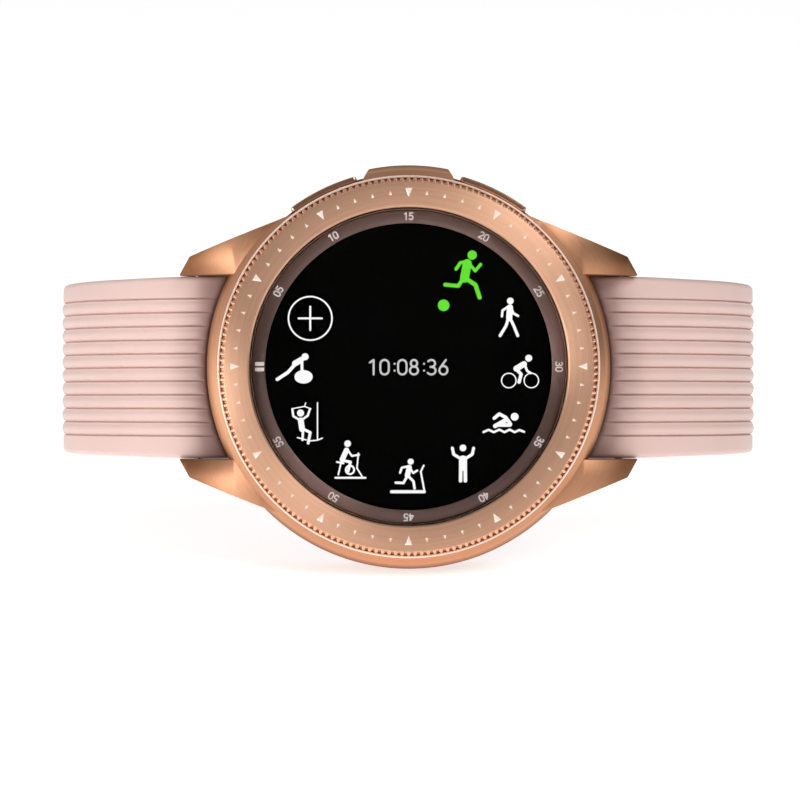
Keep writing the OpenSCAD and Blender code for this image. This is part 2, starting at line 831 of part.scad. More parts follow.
case_body();
back_cover();
sensor_window();
back_gasket();
back_screws();
display_glass();
glass_gasket();
dial_ring();
display_panel();
display_bracket();
display_flex();
main_board();
board_shields();
board_chips();
hall_sensors();
antenna_ring();
battery();
battery_tray();
battery_lead();
vibration_motor();
speaker();
speaker_mesh();
microphone();
sensor_board();
sensor_diodes();
charging_coil();
ferrite_sheet();
key_switches();
key_flex();
key_seals();
bezel_retainer();
detent_balls();
detent_springs();
bezel();
bezel_magnets();
back_key();
back_key_clip();
home_key();
home_key_clip();
strap_buckle_side();
spring_bar_left();
release_pin_left();
bar_spring_left();
strap_tail_side();
spring_bar_right();
release_pin_right();
bar_spring_right();
buckle_frame();
buckle_bar();
buckle_tongue();
fixed_keeper();
free_keeper();
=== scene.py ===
"""A smartwatch with a turning bezel, two side keys and an open ribbed strap, dressed for rendering.

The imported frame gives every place: the watch's own axes come from its joints and its charging face. Each
sub-assembly is a class that builds its meshes in the watch's own millimetres and rides them on the frame.
"""

import json
import logging
import math
from dataclasses import dataclass, field
from enum import Enum
from typing import Callable, Iterable, Sequence

import bmesh
import bpy
from mathutils import Matrix, Quaternion, Vector


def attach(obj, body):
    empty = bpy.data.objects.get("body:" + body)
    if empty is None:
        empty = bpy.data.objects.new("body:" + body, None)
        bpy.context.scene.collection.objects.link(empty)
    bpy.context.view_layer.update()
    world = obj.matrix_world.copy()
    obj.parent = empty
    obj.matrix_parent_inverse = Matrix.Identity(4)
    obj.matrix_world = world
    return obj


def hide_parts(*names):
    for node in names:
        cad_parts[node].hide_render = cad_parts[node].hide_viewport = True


MM = 0.001
TAU = 2 * math.pi
AXIS_R = 0.001

Point2 = tuple[float, float]
Point3 = tuple[float, float, float]
Socket = bpy.types.NodeSocket
Material = bpy.types.Material
Piece = bpy.types.Object

log = logging.getLogger("smartwatch")
logging.basicConfig(level=logging.INFO, format="%(name)s: %(message)s")

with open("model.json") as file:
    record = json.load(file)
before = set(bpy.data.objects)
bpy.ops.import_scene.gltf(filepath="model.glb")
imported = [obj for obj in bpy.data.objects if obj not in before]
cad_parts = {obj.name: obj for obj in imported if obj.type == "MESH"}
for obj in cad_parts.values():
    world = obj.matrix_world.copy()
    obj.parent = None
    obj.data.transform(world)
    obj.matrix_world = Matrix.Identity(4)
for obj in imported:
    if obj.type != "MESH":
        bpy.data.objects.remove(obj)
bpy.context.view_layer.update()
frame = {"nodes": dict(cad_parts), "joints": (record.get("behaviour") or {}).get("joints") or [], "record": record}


# ---------------------------------------------------------------- frame and mesh tools


@dataclass(frozen=True)
class WatchFrame:
    """The watch's own axes: x along the strap, y towards the keys, z along the dial's axis."""

    origin: Vector
    x_axis: Vector
    y_axis: Vector
    z_axis: Vector

    @classmethod
    def from_record(cls, record: dict) -> "WatchFrame":
        """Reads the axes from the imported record.

        Args:
            record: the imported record, with its mounts and joints.

        Returns:
            The frame whose origin is the middle of the charging face.
        """
        joints = {joint["name"]: joint for joint in record["behaviour"]["joints"]}
        face = next(mount for mount in record["mounts"] if mount["name"] == "charging_face")
        z_axis = Vector(joints["bezel_turn"]["axis"]).normalized()
        y_axis = Vector(joints["strap_12_swing"]["axis"]).normalized()
        return cls(Vector(face["pos_m"]), y_axis.cross(z_axis), y_axis, z_axis)

    def matrix(self) -> Matrix:
        """The matrix that takes the watch's own metres to the row frame."""
        turn = Matrix((self.x_axis, self.y_axis, self.z_axis)).transposed().to_4x4()
        return Matrix.Translation(self.origin) @ turn

    def to_row(self, x: float, y: float, z: float) -> Vector:
        """The row-frame point, in metres, of a place in the watch's millimetres."""
        return self.matrix() @ Vector((x * MM, y * MM, z * MM))

    def from_row(self, point: Sequence[float]) -> Vector:
        """The watch's millimetres of a row-frame point in metres."""
        return (self.matrix().inverted() @ Vector(point)) / MM


WATCH = WatchFrame.from_record(frame["record"])


def joint_place(name: str) -> Vector:
    """The place of a joint, in the watch's millimetres."""
    joint = next(j for j in frame["joints"] if j["name"] == name)
    return WATCH.from_row(joint["pos_m"])


@dataclass
class Draft:
    """Vertices and faces of one mesh, in millimetres."""

    points: list[Point3] = field(default_factory=list)
    faces: list[tuple[int, ...]] = field(default_factory=list)

    def add(self, points: Iterable[Point3], faces: Iterable[Sequence[int]]) -> "Draft":
        """Adds points, and faces that count from the first of them."""
        start = len(self.points)
        self.points.extend(tuple(p) for p in points)
        self.faces.extend(tuple(start + i for i in face) for face in faces)
        return self

    def skin(self, loops: Sequence[Sequence[Point3]], ring: bool = False, caps: bool = True) -> "Draft":
        """Joins closed loops of equal length into a tube.

        Args:
            loops: the loops, in order along the tube.
            ring: whether the last loop joins the first.
            caps: whether an open tube gets end faces.

        Returns:
            This draft.
        """
        count, size = len(loops), len(loops[0])
        faces: list[tuple[int, ...]] = []
        for i in range(count if ring else count - 1):
            a, b = i * size, (i + 1) % count * size
            faces.extend((a + j, a + (j + 1) % size, b + (j + 1) % size, b + j) for j in range(size))
        if caps and not ring:
            faces.append(tuple(reversed(range(size))))
            faces.append(tuple((count - 1) * size + j for j in range(size)))
        return self.add([p for loop in loops for p in loop], faces)

    def prism(self, outline: Sequence[Point2], low: float, high: float) -> "Draft":
        """Adds an upright prism over an outline."""
        return self.skin([[(x, y, z) for x, y in outline] for z in (low, high)])

    def moved(self, place: Callable[[Point3], Point3]) -> "Draft":
        """A copy with every point passed through a function."""
        return Draft([place(p) for p in self.points], list(self.faces))

    def merge(self, other: "Draft") -> "Draft":
        """Adds another draft's points and faces."""
        return self.add(other.points, other.faces)


def round_corners(outline: Sequence[Point2], radius: float | Sequence[float], steps: int = 4) -> list[Point2]:
    """Rounds the corners of a closed outline with arcs.

    Args:
        outline: the corner points, in order.
        radius: one radius for all the corners, or one for each.
        steps: how many edges an arc has.

    Returns:
        The new outline.
    """
    radii = [radius] * len(outline) if isinstance(radius, (int, float)) else list(radius)
    rounded: list[Point2] = []
    for i, corner in enumerate(outline):
        here = Vector(corner)
        back = Vector(outline[i - 1]) - here
        ahead = Vector(outline[(i + 1) % len(outline)]) - here
        half = back.angle(ahead) / 2
        if radii[i] <= 0 or half > math.radians(89):
            rounded.append(tuple(corner))
            continue
        reach = min(radii[i] / math.tan(half), 0.49 * back.length, 0.49 * ahead.length)
        start, end = here + back.normalized() * reach, here + ahead.normalized() * reach
        for step in range(steps + 1):
            t = step / steps
            rounded.append(tuple(start * (1 - t) ** 2 + here * 2 * t * (1 - t) + end * t**2))
    return rounded


def lathe(profile: Sequence[Point2], steps: int,
          radius_at: Callable[[float, float, float], float] | None = None) -> Draft:
    """Turns a closed (r, z) profile about the dial's axis.

    Args:
        profile: the profile's points.
        steps: how many columns the turned mesh has.
        radius_at: gives a point's radius from its own radius, its height and the angle.

    Returns:
        The turned mesh.
    """
    loops = []
    for i in range(steps):
        angle = TAU * i / steps
        loop = []
        for r, z in profile:
            radius = radius_at(r, z, angle) if radius_at else r
            loop.append((radius * math.cos(angle), radius * math.sin(angle), z))
        loops.append(loop)
    return Draft().skin(loops, ring=True)


def turned_point(origin: Vector, turn: Quaternion, radius: float, angle: float, height: float) -> Point3:
    """A point at a radius, an angle and a height about a turned axis."""
    return tuple(origin + turn @ Vector((radius * math.cos(angle), radius * math.sin(angle), height)))


def oval(wide: float, tall: float, power: float, count: int) -> list[Point2]:
    """A squared oval.

    Args:
        wide: half its width.
        tall: half its height.
        power: 1 for an ellipse, and less for squarer corners.
        count: how many points it has.

    Returns:
        The outline.
    """
    turns = [(math.cos(TAU * k / count), math.sin(TAU * k / count)) for k in range(count)]
    return [(wide * math.copysign(abs(c) ** power, c), tall * math.copysign(abs(s) ** power, s))
            for c, s in turns]


def rod(start: Point3, end: Point3, radius: float, steps: int = 32, edge: float = 0.0) -> Draft:
    """A round bar between two points, with bevelled ends.

    Args:
        start: the middle of one end.
        end: the middle of the other end.
        radius: the bar's radius.
        steps: how many sides it has.
        edge: the size of the bevel at each end.

    Returns:
        The bar.
    """
    a, b = Vector(start), Vector(end)
    turn = (b - a).to_track_quat("Z", "Y")
    length = (b - a).length
    stations = [(0.0, radius - edge), (edge, radius), (length - edge, radius), (length, radius - edge)]
    stations = stations if edge > 0 else [(0.0, radius), (length, radius)]
    loops = []
    for z, r in stations:
        loops.append([turned_point(a, turn, r, TAU * i / steps, z) for i in range(steps)])
    return Draft().skin(loops)


def make_object(name: str, draft: Draft, sharp: float = 35.0) -> Piece:
    """Makes a mesh object in the watch's place from a draft.

    Args:
        name: the object's name.
        draft: the mesh, in the watch's millimetres.
        sharp: edges that turn by more degrees than this stay sharp.

    Returns:
        The linked object.
    """
    mesh = bpy.data.meshes.new(name)
    mesh.from_pydata([(x * MM, y * MM, z * MM) for x, y, z in draft.points], [], draft.faces)
    tidy = bmesh.new()
    tidy.from_mesh(mesh)
    bmesh.ops.remove_doubles(tidy, verts=tidy.verts, dist=1e-7)
    bmesh.ops.recalc_face_normals(tidy, faces=tidy.faces)
    tidy.to_mesh(mesh)
    tidy.free()
    piece = bpy.data.objects.new(name, mesh)
    bpy.context.scene.collection.objects.link(piece)
    piece.matrix_world = WATCH.matrix()
    shade(piece, sharp)
    return piece


def shade(piece: Piece, sharp: float) -> None:
    """Shades a mesh smooth, but for edges that turn by more than sharp degrees."""
    piece.data.shade_smooth()
    piece.data.set_sharp_from_angle(angle=math.radians(sharp))


def apply_modifiers(piece: Piece) -> None:
    """Turns a piece's modifiers into its own mesh."""
    bpy.context.view_layer.update()
    shaped = piece.evaluated_get(bpy.context.evaluated_depsgraph_get())
    mesh = bpy.data.meshes.new_from_object(shaped)
    old = piece.data
    piece.modifiers.clear()
    piece.data = mesh
    mesh.name = old.name
    bpy.data.meshes.remove(old)


def bevel(piece: Piece, width: float, segments: int = 2, angle: float = 30.0) -> None:
    """Bevels a piece's sharp edges.

    Args:
        piece: the piece.
        width: the bevel's width in millimetres.
        segments: how many faces the bevel has across.
        angle: the least turn, in degrees, of an edge that is bevelled.
    """
    modifier = piece.modifiers.new("bevel", "BEVEL")
    modifier.width = width * MM
    modifier.segments = segments
    modifier.limit_method = "ANGLE"
    modifier.angle_limit = math.radians(angle)
    modifier.harden_normals = False
    apply_modifiers(piece)


class Join(Enum):
    """How one mesh is combined with another."""

    ADD = "UNION"
    CUT = "DIFFERENCE"
    COMMON = "INTERSECT"


def combine(piece: Piece, tool: Draft | Piece, how: Join) -> None:
    """Combines a piece with a tool mesh, which is then removed.

    Args:
        piece: the piece that is changed.
        tool: the other mesh.
        how: whether it is added, cut away or intersected.
    """
    other = tool if isinstance(tool, Piece) else make_object("tool", tool)
    modifier = piece.modifiers.new("combine", "BOOLEAN")
    modifier.operation = how.value
    modifier.object = other
    modifier.solver = "MANIFOLD"
    apply_modifiers(piece)
    bpy.data.objects.remove(other)


def install(piece: Piece, body: str, slot: str, material: Material, *nodes: str) -> None:
    """Gives a piece its material, its body and the nodes that it stands for.

    Args:
        piece: the piece.
        body: the frame's body that it moves with.
        slot: the record's material slot; not used.
        material: its finish.
        nodes: the frame's nodes that it replaces.
    """
    piece.data.materials.clear()
    piece.data.materials.append(material)
    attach(piece, body)
    if nodes:
        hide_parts(*nodes)
    log.info("%s rides on %s", piece.name, body)


# ---------------------------------------------------------------- finishes


def set_ramp(ramp: bpy.types.Node, *stops: tuple[float, Sequence[float]]) -> None:
    """Sets a colour ramp's two stops, each a place and a colour."""
    for element, (place, color) in zip(ramp.color_ramp.elements, stops):
        element.position = place
        element.color = (*color, 1)


class Shader:
    """A material's node tree with short calls for the nodes that the finishes use."""

    def __init__(self, name: str) -> None:
        """Starts a material with one principled shader."""
        self.material = bpy.data.materials.new(name)
        self.material.use_nodes = True
        self.tree = self.material.node_tree
        self.surface = self.tree.nodes["Principled BSDF"]

    def node(self, kind: str, **values: object) -> bpy.types.Node:
        """Adds a node and sets its properties."""
        made = self.tree.nodes.new(kind)
        for key, value in values.items():
            setattr(made, key, value)
        return made

    def link(self, source: Socket, target: Socket) -> None:
        """Joins two sockets."""
        self.tree.links.new(source, target)

    def set(self, **values: object) -> None:
        """Sets the principled shader's own sockets, with underscores for spaces."""
        for key, value in values.items():
            self.surface.inputs[key.replace("_", " ")].default_value = value

    def math(self, operation: str, a: object, b: object = None) -> Socket:
        """Adds a math node of one or two inputs, each a socket or a number."""
        made = self.node("ShaderNodeMath", operation=operation)
        for i, value in enumerate((a, b)):
            if isinstance(value, Socket):
                self.link(value, made.inputs[i])
            elif value is not None:
                made.inputs[i].default_value = value
        return made.outputs[0]

    def object_place(self) -> Socket:
        """The place on the piece in its own metres."""
        return self.node("ShaderNodeTexCoord").outputs["Object"]

    def noise(self, place: Socket, scale: float, detail: float = 3.0, rough: float = 0.5) -> Socket:
        """A noise value between 0 and 1."""
        made = self.node("ShaderNodeTexNoise")
        made.inputs["Scale"].default_value = scale
        made.inputs["Detail"].default_value = detail
        made.inputs["Roughness"].default_value = rough
        self.link(place, made.inputs["Vector"])
        return made.outputs[0]

    def around_axis(self, place: Socket, along: float, across: float) -> Socket:
        """Coordinates that run round the dial's axis, for turned marks.

        Args:
            place: the place on the piece.
            along: the scale round the axis.
            across: the scale outward and along the axis.

        Returns:
            The combined vector.
        """
        parts = self.node("ShaderNodeSeparateXYZ")
        self.link(place, parts.inputs[0])
        x, y, z = parts.outputs
        radius = self.math("SQRT", self.math("ADD", self.math("MULTIPLY", x, x), self.math("MULTIPLY", y, y)))
        angle = self.math("ARCTAN2", y, x)
        joined = self.node("ShaderNodeCombineXYZ")
        self.link(self.math("MULTIPLY", radius, across), joined.inputs[0])
        self.link(self.math("MULTIPLY", self.math("ABSOLUTE", angle), along), joined.inputs[1])
        self.link(self.math("MULTIPLY", z, across), joined.inputs[2])
        return joined.outputs[0]

    def spread(self, value: Socket, low: float, high: float) -> Socket:
        """A value between 0 and 1 mapped to a range."""
        made = self.node("ShaderNodeMapRange")
        made.inputs["To Min"].default_value = low
        made.inputs["To Max"].default_value = high
        self.link(value, made.inputs["Value"])
        return made.outputs[0]

    def blend(self, value: Socket, dark: Sequence[float], light: Sequence[float]) -> Socket:
        """A colour between two, by a value."""
        ramp = self.node("ShaderNodeValToRGB")
        set_ramp(ramp, (0.3, dark), (0.7, light))
        self.link(value, ramp.inputs["Fac"])
        return ramp.outputs["Color"]

    def fade(self, measure: Socket, span: tuple[float, float], shade: Point3,
             tone: Socket) -> Socket:
        """A colour that is darker where a measure is small.

        Args:
            measure: the measure, in metres.
            span: where the shade ends and where the plain colour starts, in millimetres.
            shade: what the colour is multiplied by below the span.
            tone: the plain colour.

        Returns:
            The faded colour.
        """
        reach = self.node("ShaderNodeMapRange", interpolation_type="SMOOTHSTEP")
        reach.inputs["From Min"].default_value = span[0] * MM
        reach.inputs["From Max"].default_value = span[1] * MM
        self.link(measure, reach.inputs["Value"])
        ramp = self.node("ShaderNodeValToRGB")
        set_ramp(ramp, (0.0, shade), (1.0, (1, 1, 1)))
        self.link(reach.outputs[0], ramp.inputs["Fac"])
        mix = self.node("ShaderNodeMix", data_type="RGBA", blend_type="MULTIPLY")
        mix.inputs["Factor"].default_value = 1.0
        self.link(tone, mix.inputs["A"])
        self.link(ramp.outputs["Color"], mix.inputs["B"])
        return mix.outputs["Result"]

    def bump(self, height: Socket, strength: float, depth: float) -> None:
        """Bumps the surface.

        Args:
            height: the height pattern.
            strength: how much of the bump shows, from 0 to 1.
            depth: the height that 1 stands for, in millimetres.
        """
        made = self.node("ShaderNodeBump")
        made.inputs["Strength"].default_value = strength
        made.inputs["Distance"].default_value = depth * MM
        self.link(height, made.inputs["Height"])
        self.link(made.outputs["Normal"], self.surface.inputs["Normal"])


def shades(color: Sequence[float], spread: float) -> tuple[Point3, Point3]:
    """A darker and a lighter shade of a colour."""
    dark = tuple(c * (1 - spread) for c in color)
    light = tuple(min(1.0, c * (1 + spread)) for c in color)
    return dark, light


@dataclass(frozen=True)
class TurnedGold:
    """Plated steel with fine turned marks round the dial's axis, and painted shade below a height where low_z is
    given.
    """

    name: str
    color: Point3
    roughness: float = 0.3
    anisotropy: float = 0.6
    streak: float = 0.25
    along: float = 1.2
    across: float = 9000.0
    # low_z and the colour factor after it paint shade: the colour darkens below this span of heights, in
    # millimetres
    low_z: tuple[float, float] | None = None
    low_shade: Point3 = (0.42, 0.36, 0.3)

    def material(self) -> Material:
        """The finish as a material."""
        shader = Shader(self.name)
        place = shader.around_axis(shader.object_place(), self.along, self.across)
        marks = shader.noise(place, 1.0, 3.0, 0.6)
        tone = shader.blend(marks, *shades(self.color, 0.06))
        # Painted shade: the colour darkens below the low_z span, down the case wall and toward the lug tips
        if self.low_z:
            height = shader.node("ShaderNodeSeparateXYZ")
            shader.link(shader.object_place(), height.inputs[0])
            tone = shader.fade(height.outputs[2], self.low_z, self.low_shade, tone)
        shader.link(tone, shader.surface.inputs["Base Color"])
        shader.link(shader.spread(marks, self.roughness - 0.05, self.roughness + 0.07),
                    shader.surface.inputs["Roughness"])
        shader.set(Metallic=1.0, Anisotropic=self.anisotropy, Anisotropic_Rotation=0.25)
        tangent = shader.node("ShaderNodeTangent", direction_type="RADIAL", axis="Z")
        shader.link(tangent.outputs[0], shader.surface.inputs["Tangent"])
        shader.bump(marks, self.streak, 0.012)
        return shader.material


@dataclass(frozen=True)
class PolishedMetal:
    """Smooth metal with faint handling marks."""

    name: str
    color: Point3
    roughness: float = 0.16
    wear: float = 0.06
    scale: float = 900.0

    def material(self) -> Material:
        """The finish as a material."""
        shader = Shader(self.name)
        cloud = shader.noise(shader.object_place(), self.scale, 4.0, 0.6)
        shader.link(shader.blend(cloud, *shades(self.color, 0.04)), shader.surface.inputs["Base Color"])
        shader.link(shader.spread(cloud, self.roughness - self.wear / 2, self.roughness + self.wear),
                    shader.surface.inputs["Roughness"])
        shader.set(Metallic=1.0)
        shader.bump(cloud, 0.08, 0.01)
        return shader.material


@dataclass(frozen=True)
class Rubber:
    """Matt moulded rubber with a fine skin, and painted shade near the case where a span is given."""

    name: str
    color: Point3
    roughness: float = 0.5
    grain: float = 14000.0
    bump: float = 0.18
    # Painted shade: nearer the watch's origin than this span's far end the colour darkens, down to the factor
    # below at its near end
    shade_r: tuple[float, float] | None = None
    shade: Point3 = (0.56, 0.5, 0.5)

    def material(self) -> Material:
        """The finish as a material."""
        shader = Shader(self.name)
        place = shader.object_place()
        cloud = shader.noise(place, 160.0, 2.0, 0.5)
        skin = shader.noise(place, self.grain, 3.0, 0.7)
        tone = shader.blend(cloud, *shades(self.color, 0.018))
        # Painted shade: darker nearer the case, by distance from the watch's origin
        if self.shade_r:
            reach = shader.node("ShaderNodeVectorMath", operation="LENGTH")
            shader.link(place, reach.inputs[0])
            tone = shader.fade(reach.outputs["Value"], self.shade_r, self.shade, tone)
        shader.link(tone, shader.surface.inputs["Base Color"])
        shader.link(shader.spread(skin, self.roughness - 0.08, self.roughness + 0.1),
                    shader.surface.inputs["Roughness"])
        shader.set(Sheen_Weight=0.12, Sheen_Roughness=0.5, Specular_IOR_Level=0.35)
        shader.bump(skin, self.bump, 0.012)
        return shader.material


@dataclass(frozen=True)
class Moulded:
    """Moulded plastic, film, board or print with a fine texture."""

    name: str
    color: Point3
    roughness: float = 0.45
    grain: float = 9000.0
    bump: float = 0.12
    spread: float = 0.08
    metallic: float = 0.0
    gloss: float = 0.5

    def material(self) -> Material:
        """The finish as a material."""
        shader = Shader(self.name)
        skin = shader.noise(shader.object_place(), self.grain, 3.0, 0.6)
        shader.link(shader.blend(skin, *shades(self.color, self.spread)), shader.surface.inputs["Base Color"])
        shader.link(shader.spread(skin, self.roughness - 0.06, self.roughness + 0.08),
                    shader.surface.inputs["Roughness"])
        shader.set(Metallic=self.metallic, Specular_IOR_Level=self.gloss)
        shader.bump(skin, self.bump, 0.01)
        return shader.material


@dataclass(frozen=True)
class ClearGlass:
    """Hardened cover glass with a coating that keeps reflections down."""

    name: str
    ior: float = 1.04
    tint: Point3 = (1.0, 1.0, 1.0)

    def material(self) -> Material:
        """The finish as a material."""
        shader = Shader(self.name)
        smear = shader.noise(shader.object_place(), 60.0, 2.0, 0.5)
        shader.link(shader.blend(smear, *shades(self.tint, 0.002)), shader.surface.inputs["Base Color"])
        shader.set(Roughness=0.0, Transmission_Weight=1.0, IOR=self.ior)
        return shader.material


@dataclass(frozen=True)
class Lit:
    """A lit part of the display."""

    name: str
    color: Point3
    strength: float = 1.0

    def material(self) -> Material:
        """The finish as a material, with a fine pixel pattern."""
        shader = Shader(self.name)
        grid = shader.noise(shader.object_place(), 20000.0, 0.0, 0.5)
        shader.link(shader.blend(grid, *shades(self.color, 0.02)), shader.surface.inputs["Emission Color"])
        shader.set(Base_Color=(0.0, 0.0, 0.0, 1.0), Emission_Strength=self.strength, Roughness=0.5)
        return shader.material


@dataclass(frozen=True)
class WoundCopper:
    """Enamelled wire wound in a flat spiral."""

    name: str
    color: Point3
    pitch: float = 0.35

    def material(self) -> Material:
        """The finish as a material, with a groove between turns."""
        shader = Shader(self.name)
        place = shader.around_axis(shader.object_place(), 0.0, TAU / (self.pitch * MM))
        parts = shader.node("ShaderNodeSeparateXYZ")
        shader.link(place, parts.inputs[0])
        turns = shader.spread(shader.math("SINE", parts.outputs[0]), 0.0, 1.0)
        shader.link(shader.blend(turns, *shades(self.color, 0.25)), shader.surface.inputs["Base Color"])
        shader.set(Metallic=0.9, Roughness=0.3)
        shader.bump(turns, 0.5, 0.05)
        return shader.material


class Palette:
    """All the finishes that more than one piece shares, each made once."""

    def __init__(self) -> None:
        """Makes the materials."""
        # The case gets painted shade below z 9.9, darker down its wall and toward the lug tips
        self.case = TurnedGold(
            "case_gold", (0.68, 0.35, 0.2), 0.46, 0.8, 1.0, across=5000.0, low_z=(6.5, 9.9)).material()
        self.bezel = TurnedGold("bezel_gold", (0.88, 0.50, 0.325), 0.36, 0.8, 0.15).material()
        self.polished = PolishedMetal("polished_gold", (0.76, 0.42, 0.26), 0.18).material()
        self.glass = ClearGlass("cover_glass").material()
        self.ring = TurnedGold("ring_print", (0.27, 0.17, 0.145), 0.31, 0.85, 0.0).material()
        self.black = Moulded("display_black", (0.0015, 0.0015, 0.0015), 0.4, spread=0.3, gloss=0.0).material()
        # The strap gets painted shade where it meets the case
        self.strap = Rubber("blush_rubber", (0.80, 0.575, 0.52), shade_r=(22.2, 27.2)).material()
        self.cover = Moulded("cover_plastic", (0.055, 0.035, 0.034), 0.4).material()
        self.sensor = Moulded("sensor_window", (0.008, 0.008, 0.01), 0.12, bump=0.02).material()
        self.steel = PolishedMetal("bare_steel", (0.60, 0.60, 0.62), 0.25, 0.12).material()
        self.marks = Moulded(
            "mark_gold", (1.0, 0.85, 0.74), 0.35, bump=0.02, spread=0.03, metallic=0.35).material()
        self.numerals = Moulded("numeral_print", (0.86, 0.76, 0.73), 0.5).material()
        self.white = Lit("lit_white", (0.93, 0.93, 0.93), 1.0).material()
        self.grey = Lit("lit_grey", (0.55, 0.55, 0.55), 1.0).material()
        self.green = Lit("lit_green", (0.11, 0.72, 0.012), 1.0).material()


# ---------------------------------------------------------------- case


def bezier(a: Point2, b: Point2, c: Point2, steps: int) -> list[Point2]:
    """Points of a smooth curve from a to c that heads for b."""
    curve = []
    for i in range(steps + 1):
        t = i / steps
        curve.append(tuple(a[k] * (1 - t) ** 2 + 2 * b[k] * t * (1 - t) + c[k] * t * t for k in (0, 1)))
    return curve


def arc(radius: float, start: float, end: float, steps: int) -> list[Point2]:
    """Points of an arc about the dial's axis, between two angles in degrees."""
    angles = [math.radians(start + (end - start) * i / steps) for i in range(steps + 1)]
    return [(radius * math.cos(a), radius * math.sin(a)) for a in angles]


KEY_ANGLE = 26.15
KEY_Z = 6.65


def key_rod(side: int, start: float, end: float, radius: float) -> Draft:
    """A round bar along a key's own direction.

    Args:
        side: 1 for the back key, -1 for the home key.
        start: the inner end's distance from the dial's axis.
        end: the outer end's distance.
        radius: the bar's radius.

    Returns:
        The bar.
    """
    turn = math.radians(KEY_ANGLE) * side
    reach = Vector((math.sin(turn), math.cos(turn), 0.0))
    lift = Vector((0, 0, KEY_Z))
    return rod(tuple(reach * start + lift), tuple(reach * end + lift), radius)


@dataclass
class Case:
    """The case with its lugs and the back cover, with holes for the screws."""

    wall_r: float = 21.9
    edge_r: float = 21.2
    rim_r: float = 20.3
    back_r: float = 20.6
    cavity_r: float = 16.9
    key_flat_r: float = 20.35
    deck_z: float = 10.5
    edge_z: float = 9.9
    rim_z: float = 10.9
    seat_z: float = 2.1
    low_z: float = 1.3
    lug_inner: float = 10.0
    lug_tip_x: float = 25.0
    lug_corner: Point2 = (23.82, 12.0)
    lug_slope: float = 21.4
    neck_r: float = 18.25
    glass_seat_r: float = 17.5
    lip_w: float = 0.13
    cover_step: float = 0.75
    lug_root_x: float = 14.2
    lug_edge: float = 0.09
    tube_top_z: float = 11.95
    key_stops: Point2 = (14.6, 37.4)
    key_hole_r: float = 0.75
    bar_hole_r: float = 0.5
    screw_circle_r: float = 18.7
    eye_circle_r: float = 3.8
    print_z: Point2 = (-0.008, 0.02)
    steps: int = 384

    def profile(self) -> list[Point2]:
        """The case's cross-section, with its edges rounded."""
        corners = [
            (self.cavity_r, self.seat_z), (self.back_r - self.cover_step, self.seat_z),
            (self.back_r - self.cover_step, self.low_z),
            (self.back_r, self.low_z), (self.wall_r, 5.0), (self.wall_r, 7.0), (self.edge_r, self.edge_z),
            (self.rim_r, self.rim_z), (self.rim_r, self.deck_z), (self.neck_r, self.deck_z),
            (self.neck_r, self.tube_top_z), (self.glass_seat_r, self.tube_top_z),
            (self.glass_seat_r, self.rim_z), (self.cavity_r, self.rim_z)]
        radii = [0, 0, 0.08, 0.3, 1.2, 1.2, 0.06, 0.05, 0, 0, 0.05, 0.05, 0, 0]
        return round_corners(corners, radii, 5)

    def lug_face_y(self, x: float) -> float:
        """The distance of a lug's outer face from the strap's middle, at a place along the strap."""
        return self.lug_corner[1] + (self.lug_corner[0] - x) * math.tan(math.radians(self.lug_slope))

    def lug(self, flip_x: int, flip_y: int) -> Piece:
        """One lug: its outline from the front cut to its outline from the side."""
        root_x = self.lug_root_x
        inside_x = root_x - 2.5
        plan = [(root_x, self.lug_inner), (self.lug_tip_x, self.lug_inner), self.lug_corner,
                (inside_x, self.lug_face_y(inside_x)), (inside_x, 15.0)]
        piece = make_object("lug", Draft().prism(plan, 0.0, 12.0))
        tip = self.lug_tip_x + 0.02
        top = bezier((15.0, 9.93), (20.4, 9.93), (tip, 5.3), 18)
        side = [(10.0, 9.93), *top, (tip, 2.9), (24.1, 1.7), (23.2, 1.15), (20.0, 1.0), (10.0, self.low_z)]
        across = Draft().skin([[(x, y, z) for x, z in side] for y in (5.0, 20.0)])
        combine(piece, across, Join.COMMON)
        bevel(piece, self.lug_edge, 2, 25.0)
        for vertex in piece.data.vertices:
            vertex.co.x *= flip_x
            vertex.co.y *= flip_y
        if flip_x * flip_y < 0:
            piece.data.flip_normals()
        return piece

    def recess_tool(self, side: int) -> Draft:
        """The cut between the guard and a lug's outer face that leaves room for one key."""
        inner = arc(self.key_flat_r, *self.key_stops, 24)
        ends = [(self.lug_face_y(x), x) for x in (12.5, 18.0)]
        outline = [(side * y, x) for x, y in inner + ends + [(20.0, 24.0), (24.3, 3.0)]]
        return Draft().prism(outline, 3.2, 12.0)

    def build(self, palette: Palette) -> None:
        """Builds the case and dresses it."""
        body = make_object("case_shell", lathe(self.profile(), self.steps))
        core_r = self.edge_r - 0.9
        core = lathe([(0.01, -1.0), (core_r, -1.0), (core_r, 13.0), (0.01, 13.0)], 96)
        for flip_x in (1, -1):
            for flip_y in (1, -1):
                lug = self.lug(flip_x, flip_y)
                combine(lug, core, Join.CUT)
                combine(body, lug, Join.ADD)
        for side in (1, -1):
            combine(body, self.recess_tool(side), Join.CUT)
        for joint in ("strap_6_swing", "strap_12_swing"):
            bar = joint_place(joint)
            combine(body, rod((bar.x, -11.1, bar.z), (bar.x, 11.1, bar.z), self.bar_hole_r), Join.CUT)
        slot = round_corners([(-3.0, 3.4), (3.0, 3.4), (3.0, 4.3), (-3.0, 4.3)], 0.44, 6)
        combine(body, Draft().skin([[(x, y, z) for x, z in slot] for y in (-23.0, -16.0)]), Join.CUT)
        combine(body, rod((0.0, 16.0, 4.0), (0.0, 23.0, 4.0), 0.4), Join.CUT)
        for side in (1, -1):
            combine(body, key_rod(side, 16, 22, self.key_hole_r), Join.CUT)
        shade(body, 30.0)
        install(body, "case", "rose_gold_case", palette.case, "case_body")
        self.build_rim(palette)
        self.build_cover(palette)

